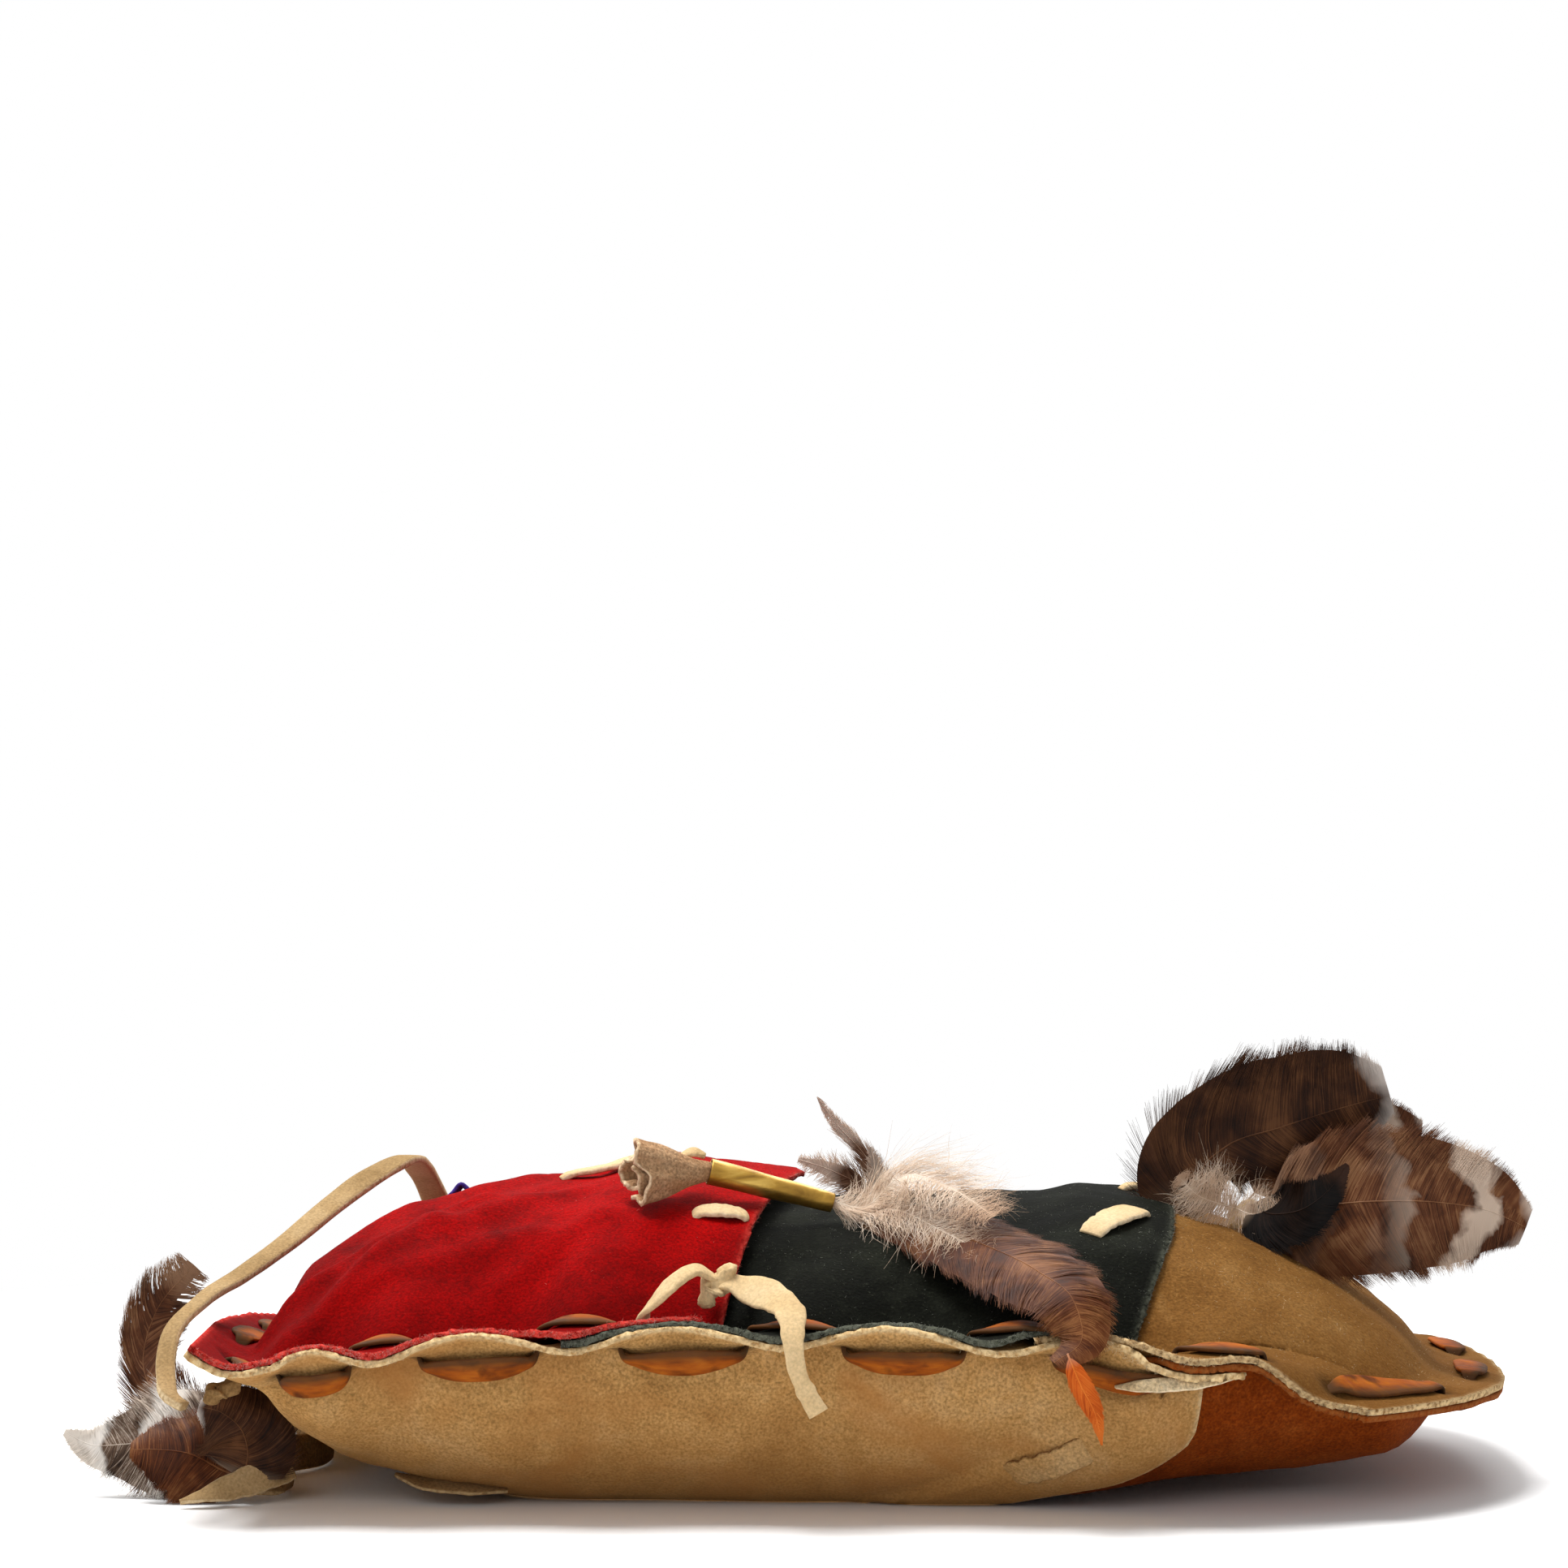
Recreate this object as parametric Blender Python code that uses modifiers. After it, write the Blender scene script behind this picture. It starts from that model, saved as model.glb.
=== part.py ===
"""Feathered suede shoulder bag, lying on its back panels.

The pouch is two skins of pieced suede laced together round the rim. X runs from the
strap end to the rounded bottom, Y from the near rim to the far rim, and Z up from
the surface that the belly rests on. u and v run from -1 to 1 along X and Y.
"""
import math

import bmesh
import bpy
import numpy as np
from mathutils import Matrix, Vector

MM = 0.001

# Pouch in plan
LENGTH = 315 * MM
WIDTH = 212 * MM
NEAR_CORNER_CUT = 42 * MM
FAR_CORNER_CUT = 33 * MM
BOTTOM_TAPER = 14 * MM
SLANT = [(-1, 0), (-0.45, 18), (-0.1, 20), (0.48, 3), (1, 0)]
BACK_JOIN_BEND = 70 * MM
BEND_INSET = 5 * MM

# Suede
SUEDE = 1.5 * MM
GAP = 0.3 * MM
LAP_GAP = 0.5 * MM
LAYER = SUEDE + LAP_GAP

# Where each piece of suede begins and ends along u. The upper piece laps the lower one.
RED_END = -0.105
GREEN_START = -0.32
GREEN_END = 0.48
TAN_START = 0.36
BEIGE_END = 0.645
RUST_START = 0.5
LAP_RAMP = 0.09

# Heights over the floor along the middle (u, height)
RIM = [(-1, 41), (-0.95, 37), (-0.8, 38), (-0.55, 41.5), (-0.4, 42.5), (0.25, 43),
       (0.6, 38.5), (0.75, 36), (0.86, 28), (1, 24)]
RED_CREST = [(-1, 36), (-0.95, 37), (-0.905, 38.5), (-0.85, 51), (-0.72, 66.5), (-0.4, 75), (-0.11, 72.5),
             (0.1, 70)]
LOW_CREST = [(-0.5, 62), (-0.2, 64.5), (0.22, 66.5), (0.45, 64.5), (0.63, 56), (0.79, 43),
             (0.91, 28), (1, 24)]
BELLY = [(-1, 36), (-0.95, 35), (-0.88, 20), (-0.78, 9), (-0.66, 3.5), (-0.5, -1), (-0.2, -2),
         (0.3, -2), (0.5, -1), (0.66, 3), (0.8, 8), (0.93, 17), (1, 24)]
LEFT_DROOP = 17 * MM
DOME_START = 15 * MM
CORNER_FLAT = 9 * MM
END_FLAT = 12 * MM
END_TURN = 26 * MM
DOME_ROUND, DOME_FULL = 2.2, 0.8
BELLY_ROUND, BELLY_FULL = 7.0, 0.75

# Gathered rim: height over the rim line where the lace lies behind and in front (inset, height)
RIM_BEHIND = [(0, 2.5), (5, -1.4), (10, -5.2), (15, -8.4), (27, -5.5), (44, 0)]
RIM_IN_FRONT = [(0, -1.5), (9, -0.3), (15, 0), (44, 0)]
RIM_TUCK = 5 * MM

# Creases of the red piece: start and end (x, y), height and half width
CREASES = [((-140, -84), (-86, -42), 2.0, 7), ((-146, -50), (-84, -10), 1.8, 7),
           ((-140, -14), (-78, 18), 1.6, 8), ((-64, -14), (-50, 16), 2.2, 9)]

# Lacing
LACE_INSET = 8.5 * MM
LACE_WIDTH = 7.2 * MM
LACE_NECK = 4.6 * MM
LACE_THICKNESS = 1.4 * MM
LACE_BOW = 1.2 * MM
LACE_RISE = 1.3 * MM
LACE_CLEARANCE = 1.1 * MM
LACE_TAIL = 0.4
SLOT_CLEARANCE = 1.7 * MM
SLOT_WIDENING = 2.8 * MM
SIDE_SLOTS = [-137.5, -121, -105, -77.5, -58.5, -29, -7, 21.5, 41.5, 69, 91, 106]
BOTTOM_SLOTS = [-64, -40, -16, 8, 32, 56]
STRAP_END_SLOTS = [-86, -64, -38, -14, 12, 36, 60, 86]

# Thongs and strap
THONG_WIDTH = 7 * MM
THONG_THICKNESS = 1.6 * MM
STRAP_WIDTH = 11 * MM
STRAP_THICKNESS = 2.2 * MM
TAIL_WIDTH = 9 * MM

# Danglers
TUBE_LENGTH = 31 * MM
TUBE_RADIUS = 3.1 * MM
TUBE_END_RADIUS = 2.4 * MM
TUBE_WALL = 0.5 * MM
TASSEL_LENGTH = 19 * MM
TASSEL_RADIUS = 7.2 * MM
TASSEL_NECK = 6 * MM
QUILL_RADIUS = 0.8 * MM
FEATHER_THICKNESS = 0.8 * MM

HALF_LENGTH = LENGTH / 2
HALF_WIDTH = WIDTH / 2

# Rows of the skins, as distances in from the rim, and columns near the two ends
ROWS = [0, 5, 10, 15, 19, 25, 34, 50, 76]
END_COLUMNS = [0, 5, 10, 14, 19]
RIGHT_COLUMNS = [0.76, 0.82]
COLUMN_SPACE = 3 * MM


def smooth(low, high, at):
    """0 below low and 1 above high, with an S-shaped step between them."""
    t = np.clip((at - low) / (high - low), 0, 1)
    return t * t * (3 - 2 * t)


def through(knots, at):
    """A smooth curve through (place, value) knots: cubic pieces with the knots' mean slopes."""
    place, value = np.array(knots, float).T
    slope = np.gradient(value, place)
    at = np.clip(at, place[0], place[-1])
    i = np.clip(np.searchsorted(place, at) - 1, 0, len(place) - 2)
    span = place[i + 1] - place[i]
    t = (at - place[i]) / span
    start = value[i] * (1 + 2 * t) * (1 - t) ** 2 + slope[i] * span * t * (1 - t) ** 2
    end = value[i + 1] * t * t * (3 - 2 * t) + slope[i + 1] * span * t * t * (t - 1)
    return start + end


def flange(u):
    """Width of the flat margin that the lace runs through, wider at the rounded corners."""
    return DOME_START + CORNER_FLAT * smooth(0.45, 0.75, u)


def plan(u, v, back):
    """X and Y of (u, v). The back's columns bend towards the strap end under the belly."""
    cut = np.where(v < 0, NEAR_CORNER_CUT, FAR_CORNER_CUT) * np.abs(v) ** 3
    x = HALF_LENGTH * u - cut * ((u + 1) / 2) ** 3 + through(SLANT, u) * MM * v
    flat = 1 - (flange(u) + BEND_INSET) / HALF_WIDTH
    inside = np.clip((flat - np.abs(v)) / flat, 0, 1)
    bend = np.sin(np.pi / 2 * np.minimum(1, 1.35 * inside))
    reach = smooth(-0.4, BEIGE_END, u) * (1 - smooth(BEIGE_END, 0.88, u))
    x = x - back * BACK_JOIN_BEND * bend * reach
    y = v * (HALF_WIDTH - BOTTOM_TAPER * smooth(0.55, 1, u))
    return x, y


def slot_place(slot, v):
    """The u of a place along X at this v, by repeated correction."""
    u = 0.0
    for _ in range(40):
        u += (slot * MM - float(plan(np.array(u), np.array(v), 0)[0])) / HALF_LENGTH
    return u


def wave(u):
    """1 at the middle of a stitch behind the rim, -1 at one in front and 0 at the slots."""
    at = np.sort(np.concatenate([SLOT_COLUMNS, STITCH_COLUMNS]))
    value = np.zeros(len(at))
    value[1::4], value[3::4] = 1, -1
    return np.interp(u, at, value)


def gather(inset, turn):
    """Height added near one side of the rim, and how far its edge tucks in."""
    behind = (1 + turn) / 2
    height = behind * through(RIM_BEHIND, inset / MM) + (1 - behind) * through(RIM_IN_FRONT, inset / MM)
    tuck = RIM_TUCK * behind * np.clip(1 - inset / LACE_INSET, 0, 1)
    return height * MM, tuck


def skin(u, v, piece):
    """Points of one skin's seam surface: piece is red, low (green and tan) or back."""
    back = piece == "back"
    x, y = plan(u, v, back)
    droop = LEFT_DROOP * np.clip((v + 0.6) / 1.6, 0, 1) ** 1.3 * ((1 - u) / 2) ** 2
    z = through(RIM, u) * MM - droop
    near, far = (1 + v) * HALF_WIDTH, (1 - v) * HALF_WIDTH
    left, right = (1 + u) * HALF_LENGTH, (1 - u) * HALF_LENGTH
    at_ends = smooth(0, 22 * MM, left) * smooth(20 * MM, 84 * MM, right)
    for inset, inward in ((near, 1), (far, -1)):
        height, tuck = gather(inset, wave(u))
        z = z + height * at_ends
        y = y + inward * tuck * at_ends
    middle = through(RIM, u) * MM - LEFT_DROOP * (0.6 / 1.6) ** 1.3 * ((1 - u) / 2) ** 2
    inset = (1 - np.abs(v)) * HALF_WIDTH
    run = 1 - np.clip((inset - flange(u)) / (HALF_WIDTH - flange(u)), 0, 1)
    swell = smooth(END_FLAT, END_TURN, left) * smooth(END_FLAT, END_TURN, right)
    if back:
        z = z + (through(BELLY, u) * MM - middle) * swell * (1 - run**BELLY_ROUND) ** BELLY_FULL
        z = np.maximum(z, lift_of("beige", u) + SUEDE)
    else:
        crest = RED_CREST if piece == "red" else LOW_CREST
        z = z + (through(crest, u) * MM - middle) * swell * (1 - run**DOME_ROUND) ** DOME_FULL
    if piece == "red":
        z = z + creases(x, y)
    return np.stack([x, y, z], -1)


def creases(x, y):
    """Soft ridges from the strap end across the red piece."""
    z = 0 * x
    for start, end, height, width in CREASES:
        a, b = np.array(start) * MM, np.array(end) * MM
        along = ((x - a[0]) * (b - a)[0] + (y - a[1]) * (b - a)[1]) / np.dot(b - a, b - a)
        t = np.clip(along, 0, 1)
        off = np.hypot(x - a[0] - t * (b - a)[0], y - a[1] - t * (b - a)[1])
        z = z + height * MM * np.exp(-((off / (width * MM)) ** 2)) * smooth(0, 0.2, along)
    return z


def outward(u, v, piece):
    """Unit normals of a skin, pointing out of the pouch."""
    step = 1e-4
    du = skin(np.minimum(u + step, 1), v, piece) - skin(np.maximum(u - step, -1), v, piece)
    dv = skin(u, np.minimum(v + step, 1), piece) - skin(u, np.maximum(v - step, -1), piece)
    normal = np.cross(du, dv)
    normal /= np.linalg.norm(normal, axis=-1, keepdims=True)
    return -normal if piece == "back" else normal


def lift_of(name, u):
    """How far a piece's inner face lies out from the seam surface, where it laps another."""
    start = {"red": GREEN_START, "green": TAN_START, "beige": RUST_START}.get(name)
    over = 0 * u if start is None else smooth(start - LAP_RAMP, start - 0.01, u)
    return GAP / 2 + LAYER * over


def stack(u, piece):
    """Outer face of all the layers over the seam surface, for what lies on them."""
    laps = [(RUST_START, BEIGE_END)] if piece == "back" else [(GREEN_START, RED_END), (TAN_START, GREEN_END)]
    over = 0 * u
    for start, end in laps:
        rise = smooth(start - LAP_RAMP, start - 0.01, u) * (1 - smooth(end + 0.01, end + LAP_RAMP, u))
        over = np.maximum(over, rise)
    return GAP / 2 + SUEDE + LAYER * over


def find(x, y, back=0):
    """(u, v) of a place in plan, by repeated correction."""
    u, v = 0.0, 0.0
    for _ in range(60):
        at_x, at_y = plan(np.array(u), np.array(v), back)
        u = float(np.clip(u + 0.7 * (x - at_x) / HALF_LENGTH, -1, 1))
        v = float(np.clip(v + 0.7 * (y - at_y) / HALF_WIDTH, -1, 1))
    return u, v


def front_top(x, y):
    """Height of the front's outer face over a place in plan."""
    u, v = find(x, y)
    piece = "red" if u < RED_END else "low"
    name = "red" if u < RED_END else ("green" if u < GREEN_END else "tan")
    up = outward(np.array(u), np.array(v), piece)[2]
    return float(skin(np.array(u), np.array(v), piece)[2] + (lift_of(name, u) + SUEDE) / up)


def clear_scene():
    for old in list(bpy.data.objects):
        bpy.data.objects.remove(old, do_unlink=True)


def new_collection(name):
    made = bpy.data.collections.new(name)
    bpy.context.scene.collection.children.link(made)
    return made


def material(name, colour, roughness, metallic=0.0):
    made = bpy.data.materials.get(name) or bpy.data.materials.new(name)
    made.use_nodes = True
    shader = made.node_tree.nodes["Principled BSDF"]
    shader.inputs["Base Color"].default_value = (*colour, 1)
    shader.inputs["Roughness"].default_value = roughness
    shader.inputs["Metallic"].default_value = metallic
    return made


def add(name, points, faces, finish, collection):
    mesh = bpy.data.meshes.new(name)
    mesh.from_pydata([tuple(p) for p in points], [], [tuple(f) for f in faces])
    mesh.materials.append(finish)
    mesh.shade_smooth()
    made = bpy.data.objects.new(name, mesh)
    collection.objects.link(made)
    return made


def grid_triangles(rows, columns, turned):
    """Two triangles for each cell of a grid of points kept row by row."""
    faces = []
    for i in range(rows - 1):
        for j in range(columns - 1):
            a, b = i * columns + j, i * columns + j + 1
            c, d = b + columns, a + columns
            faces += [(a, c, b), (a, d, c)] if turned else [(a, b, c), (a, c, d)]
    return faces


def skin_grid(piece):
    """Columns of u, points and unit normals of a whole skin, with a column on each piece's edge."""
    ends = np.array(END_COLUMNS) * MM / HALF_LENGTH
    laps = [GREEN_START, RED_END, TAN_START, RUST_START, GREEN_END, BEIGE_END]
    inner = np.concatenate([SLOT_COLUMNS, STITCH_COLUMNS])
    far_enough = np.abs(inner[:, None] - np.array(laps)).min(1) > COLUMN_SPACE / HALF_LENGTH
    columns = np.sort(np.concatenate([ends - 1, laps, inner[far_enough], RIGHT_COLUMNS, 1 - ends]))
    inset = np.array(ROWS) * MM / HALF_WIDTH
    rows = np.concatenate([inset - 1, [0], (1 - inset)[::-1]])
    u, v = np.meshgrid(columns, rows)
    points = skin(u, v, piece)
    cell = np.cross(points[1:, 1:] - points[:-1, :-1], points[1:, :-1] - points[:-1, 1:])
    cell = np.pad(cell / np.linalg.norm(cell, axis=-1, keepdims=True), ((1, 1), (1, 1), (0, 0)), "edge")
    normal = cell[1:, 1:] + cell[1:, :-1] + cell[:-1, 1:] + cell[:-1, :-1]
    normal /= np.linalg.norm(normal, axis=-1, keepdims=True)
    return columns, points, -normal if piece == "back" else normal


def panel(name, piece, start, end, finish, slots):
    """One piece of suede, cut for its thongs.

    Its faces are the skin's grid moved out along the normals of the whole skin, so that
    lapped pieces keep their gap. Solidify would take them from the piece's own edge.
    """
    columns, points, normal = skin_grid(piece)
    chosen = (columns > start - 1e-6) & (columns < end + 1e-6)
    lift = lift_of(name.split("_")[-1], columns)[None, :, None]
    inner = (points + normal * lift)[:, chosen]
    outer = (points + normal * (lift + SUEDE))[:, chosen]
    rows, count = inner.shape[:2]
    back = piece == "back"
    size = rows * count
    edge = [(0, j) for j in range(count)] + [(i, count - 1) for i in range(1, rows)]
    edge += [(rows - 1, j) for j in range(count - 2, -1, -1)] + [(i, 0) for i in range(rows - 2, 0, -1)]
    rim = [i * count + j for i, j in edge]
    faces = grid_triangles(rows, count, not back)
    faces += [tuple(k + size for k in face) for face in grid_triangles(rows, count, back)]
    for a, b in zip(rim, rim[1:] + rim[:1]):
        faces += [(a, b, b + size), (a, b + size, a + size)] if not back else [(b, a, a + size), (b, a + size, b + size)]
    made = add(name, np.concatenate([inner.reshape(-1, 3), outer.reshape(-1, 3)]), faces, finish, parts)
    cut = made.modifiers.new("Slots", "BOOLEAN")
    cut.operation = "DIFFERENCE"
    cut.object = slots
    cut.use_self = True
    return made


def ribbon(name, path, across, width, thickness, finish, collection, closed=False):
    """A strip of suede along a path: across gives the direction of its width at each point."""
    path, across = np.array(path), np.array(across)
    across = across / np.linalg.norm(across, axis=1, keepdims=True)
    if closed:
        tangent = np.roll(path, -1, 0) - np.roll(path, 1, 0)
    else:
        tangent = np.gradient(path, axis=0)
    normal = np.cross(tangent, across)
    normal /= np.linalg.norm(normal, axis=1, keepdims=True)
    half = np.broadcast_to(np.array(width) / 2, len(path))[:, None]
    up = np.broadcast_to(np.array(thickness) / 2, len(path))[:, None]
    corners = [path + across * half * a + normal * up * b for a, b in ((-1, -1), (1, -1), (1, 1), (-1, 1))]
    points = np.stack(corners, 1).reshape(-1, 3)
    count = len(path)
    faces = []
    for i in range(count if closed else count - 1):
        here, there = 4 * i, 4 * ((i + 1) % count)
        for k in range(4):
            a, b = here + k, here + (k + 1) % 4
            c, d = there + (k + 1) % 4, there + k
            faces += [(a, b, c), (a, c, d)]
    if not closed:
        last = 4 * (count - 1)
        faces += [(3, 2, 1, 0), (last, last + 1, last + 2, last + 3)]
    return add(name, points, faces, finish, collection)


def rounded(points, steps, route=None):
    """A smooth run through hand-chosen points, evenly spaced along them or along a route."""
    points = np.array(points, float)
    route = points if route is None else np.array(route, float)
    place = np.concatenate([[0], np.cumsum(np.linalg.norm(np.diff(route, axis=0), axis=1))])
    at = np.linspace(0, place[-1], steps)
    return np.stack([through(list(zip(place, points[:, k])), at) for k in range(3)], 1)


def front_piece(u):
    return "red" if u < RED_END else "low"


def lace_stations():
    """(u, v) of each slot round the rim: strap end, near side, bottom, then far side."""
    inset_v, inset_u = LACE_INSET / HALF_WIDTH, LACE_INSET / HALF_LENGTH
    near = [(u, inset_v - 1) for u in SLOT_COLUMNS]
    far = [(u, 1 - inset_v) for u in SLOT_COLUMNS]
    bottom = [(1 - inset_u, y * MM / (HALF_WIDTH - BOTTOM_TAPER)) for y in BOTTOM_SLOTS]
    strap_end = [(inset_u - 1, y * MM / HALF_WIDTH) for y in STRAP_END_SLOTS]
    return strap_end[::-1] + near + bottom + far[::-1]


def frame_at(uv, piece, towards):
    """Seam point, normal out of the front there, and the way across a run towards another (u, v)."""
    u, v = np.array(uv[0]), np.array(uv[1])
    point = skin(u, v, piece)
    normal = outward(u, v, piece) * (-1 if piece == "back" else 1)
    step = np.subtract(towards, uv)
    step *= 0.01 / np.linalg.norm(step)
    ahead = skin(u + step[0], v + step[1], piece) - skin(u - step[0], v - step[1], piece)
    across = np.cross(normal, ahead)
    return point, normal, across / np.linalg.norm(across)


def slot_cutter(target, frame, length, width, low, high):
    """Adds a box through the layers: length along, width across, low to high along the normal."""
    point, normal, across = frame
    along = np.cross(across, normal)
    turn = Matrix([Vector(along * length), Vector(across * width), Vector(normal * (high - low))])
    place = Matrix.Translation(Vector(point + normal * (low + high) / 2)) @ turn.transposed().to_4x4()
    bmesh.ops.create_cube(target, size=1, matrix=place)


def stitch(start, end, front, shares, bows):
    """Points of one stitch between two slots: shares along it, each bowed off the suede."""
    points = []
    for share, bow in zip(shares, bows):
        at = np.array(start) + np.subtract(end, start) * share
        piece = front_piece(at[0]) if front else "back"
        point, normal, across = frame_at(at, piece, at + np.subtract(end, start))
        off = float(stack(at[0], piece)) + LACE_CLEARANCE + LACE_THICKNESS / 2 + LACE_BOW * bow
        points.append((point + normal * (off if front else -off), across, bow))
    return points


def make_lace(finish, cuts):
    """One lace, woven through a slot at each station. Its ends lie on the far strap corner."""
    stations = lace_stations()
    opening = np.subtract(stations[0], stations[-1])
    run = stitch(stations[0] - opening * LACE_TAIL, stations[0], True, (0, 0.5, 0.9), (0, 0.6, 0))
    for k, here in enumerate(stations):
        last = k == len(stations) - 1
        there = stations[k + 1] if not last else np.add(here, opening * LACE_TAIL)
        before = stations[k - 1] if k else here
        frame = frame_at(here, "back", np.add(here, np.subtract(there, before)))
        reach = float(max(stack(here[0], "low"), stack(here[0], "back"))) + LACE_CLEARANCE
        slot_cutter(cuts, frame, LACE_THICKNESS + 2 * SLOT_CLEARANCE, LACE_NECK + SLOT_WIDENING,
                    -reach, reach)
        run.append((frame[0], frame[2], 0))
        if last:
            run += stitch(here, there, True, (0.1, 0.5, 1), (0, 0.6, 0))
            break
        length = np.linalg.norm(frame_at(there, "back", here)[0] - frame[0])
        rise = LACE_RISE / length
        run += stitch(here, there, k % 2 == 1, (rise, 0.3, 0.7, 1 - rise), (0.3, 1, 1, 0.3))
    width = [LACE_NECK + (LACE_WIDTH - LACE_NECK) * bow for _, _, bow in run]
    ribbon("edge_lace", [p for p, _, _ in run], [a for _, a, _ in run], width, LACE_THICKNESS,
           finish, parts)


def thong(name, start, end, width, back, finish, cuts, bow=1.2 * MM):
    """One stitch of a thong on the outside: plan places of its slots, with both ends turned in."""
    a, b = find(*np.array(start) * MM, back), find(*np.array(end) * MM, back)
    run = []
    for at, other in ((a, b), (b, a)):
        piece = "back" if back else front_piece(at[0])
        point, normal, across = frame_at(at, piece, np.subtract(b, a) + at)
        outer = float(stack(at[0], piece))
        cut_length = THONG_THICKNESS + 2 * SLOT_CLEARANCE
        low, high = (-outer - 2 * GAP, 4 * MM) if back else (-4 * MM, outer + 2 * GAP)
        slot_cutter(cuts, (point, normal, across), cut_length, width + SLOT_CLEARANCE, low, high)
    length = math.dist(start, end) * MM
    rise = THONG_THICKNESS / 2 / length
    shares, bows = (0, rise, 0.3, 0.7, 1 - rise, 1), (-1, 0, 1, 1, 0, -1)
    for share, height in zip(shares, bows):
        at = np.array(a) + np.subtract(b, a) * share
        piece = "back" if back else front_piece(at[0])
        point, normal, across = frame_at(at, piece, at + np.subtract(b, a))
        off = float(stack(at[0], piece)) + 2 * GAP + THONG_THICKNESS / 2 + bow * max(height, 0)
        if height < 0:
            off = -3 * MM
        run.append((point + normal * (-off if back else off), across))
    return ribbon(name, [p for p, _ in run], [a for _, a in run], width, THONG_THICKNESS, finish, parts)


def feather(name, route, half_widths, facing, cup, finish):
    """A closed leaf along a route of its quill, with its vanes square to the facing direction."""
    steps = 9
    path = rounded(np.array(route) * MM, steps)
    share = np.linspace(0, 1, steps)
    half = through(list(zip(np.linspace(0, 1, len(half_widths)), half_widths)), share) * MM
    half = np.maximum(half, QUILL_RADIUS)
    tangent = np.gradient(path, axis=0)
    facing = np.array(facing, float)
    across = np.cross(facing / np.linalg.norm(facing), tangent)
    across /= np.linalg.norm(across, axis=1, keepdims=True)
    normal = np.cross(tangent, across)
    normal /= np.linalg.norm(normal, axis=1, keepdims=True)
    dip = normal * (cup * half)[:, None]
    rows = np.stack([path - across * half[:, None] - dip, path, path + across * half[:, None] - dip], 1)
    made = add(name, rows.reshape(-1, 3), grid_triangles(steps, 3, False), finish, parts)
    solid = made.modifiers.new("Thickness", "SOLIDIFY")
    solid.thickness = FEATHER_THICKNESS
    solid.offset = 0
    return made


def turned(name, profile, steps, start, end, finish):
    """A turned piece from (radius, along) points, with its axis from start towards end."""
    mesh = bpy.data.meshes.new(name)
    count = len(profile)
    mesh.from_pydata([(r, 0, along) for r, along in profile],
                     [(i, (i + 1) % count) for i in range(count)], [])
    mesh.materials.append(finish)
    made = bpy.data.objects.new(name, mesh)
    parts.objects.link(made)
    screw = made.modifiers.new("Turn", "SCREW")
    screw.steps = screw.render_steps = steps
    screw.axis = "Z"
    screw.use_merge_vertices = True
    screw.merge_threshold = 1e-5
    screw.use_normal_calculate = True
    screw.use_normal_flip = True
    axis = Vector(end) - Vector(start)
    made.location = start
    made.rotation_euler = axis.to_track_quat("Z", "Y").to_euler()
    return made


def rest_on_front(start, end, radii):
    """Lifts a round piece's axis, given in plan, until it lies a gap over the front."""
    a, b = np.array(start) * MM, np.array(end) * MM
    shares = np.linspace(0, 1, 7)
    tops = np.array([front_top(*(a + (b - a) * s)) for s in shares])
    needed = tops + 2 * GAP + 1.04 * (radii[0] + (radii[1] - radii[0]) * shares)
    slope = needed[-1] - needed[0]
    base = np.max(needed - slope * shares)
    return Vector((*a, base)), Vector((*b, base + slope))


def dangler(side, start, end, tassel_end):
    """A brass tube lying on the front with the suede tassel whose neck is held in its bore."""
    a, b = rest_on_front(start, end, (TUBE_RADIUS, TUBE_END_RADIUS))
    b = a + (b - a).normalized() * TUBE_LENGTH
    wall = TUBE_WALL
    turned(f"{side}_tube", [(TUBE_RADIUS, 0), (TUBE_RADIUS - wall, 0),
                            (TUBE_END_RADIUS - wall, TUBE_LENGTH), (TUBE_END_RADIUS, TUBE_LENGTH)],
           14, a, b, brass)
    neck = TUBE_RADIUS - wall - 2 * GAP
    tip = Vector(np.array(tassel_end) * MM)
    under = [front_top(tip.x, tip.y + s * TASSEL_RADIUS) + math.sqrt(1 - s * s) * TASSEL_RADIUS
             for s in (-0.9, -0.5, 0, 0.5, 0.9)]
    tip.z = max(max(under) + GAP, a.z)
    bend = a + (tip - a).normalized() * (TASSEL_LENGTH * 0.25)
    axis = (b - a).normalized()
    rings = [(a + axis * TASSEL_NECK, neck * 0.6), (a - axis * 0.6 * MM, neck), (bend, neck * 1.25),
             (a + (tip - a).normalized() * TASSEL_LENGTH * 0.6, TASSEL_RADIUS * 0.75),
             (a + (tip - a).normalized() * TASSEL_LENGTH, TASSEL_RADIUS)]
    tassel(f"{side}_tassel", rings, suede_beige)
    return b, axis


def held(end, axis, shift, offsets):
    """A route that starts in a tube's bore and goes on by distances in millimetres from its end."""
    bore = [Vector(end) + axis * along * MM for along in (-4, 8)]
    start = [tuple((p + Vector(shift) * MM) / MM) for p in bore]
    return start + from_point(end, offsets)


def from_point(origin, offsets):
    """Places in millimetres of points given by their distance from a point in metres."""
    return [tuple(np.array(origin) / MM + np.array(step)) for step in offsets]


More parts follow.
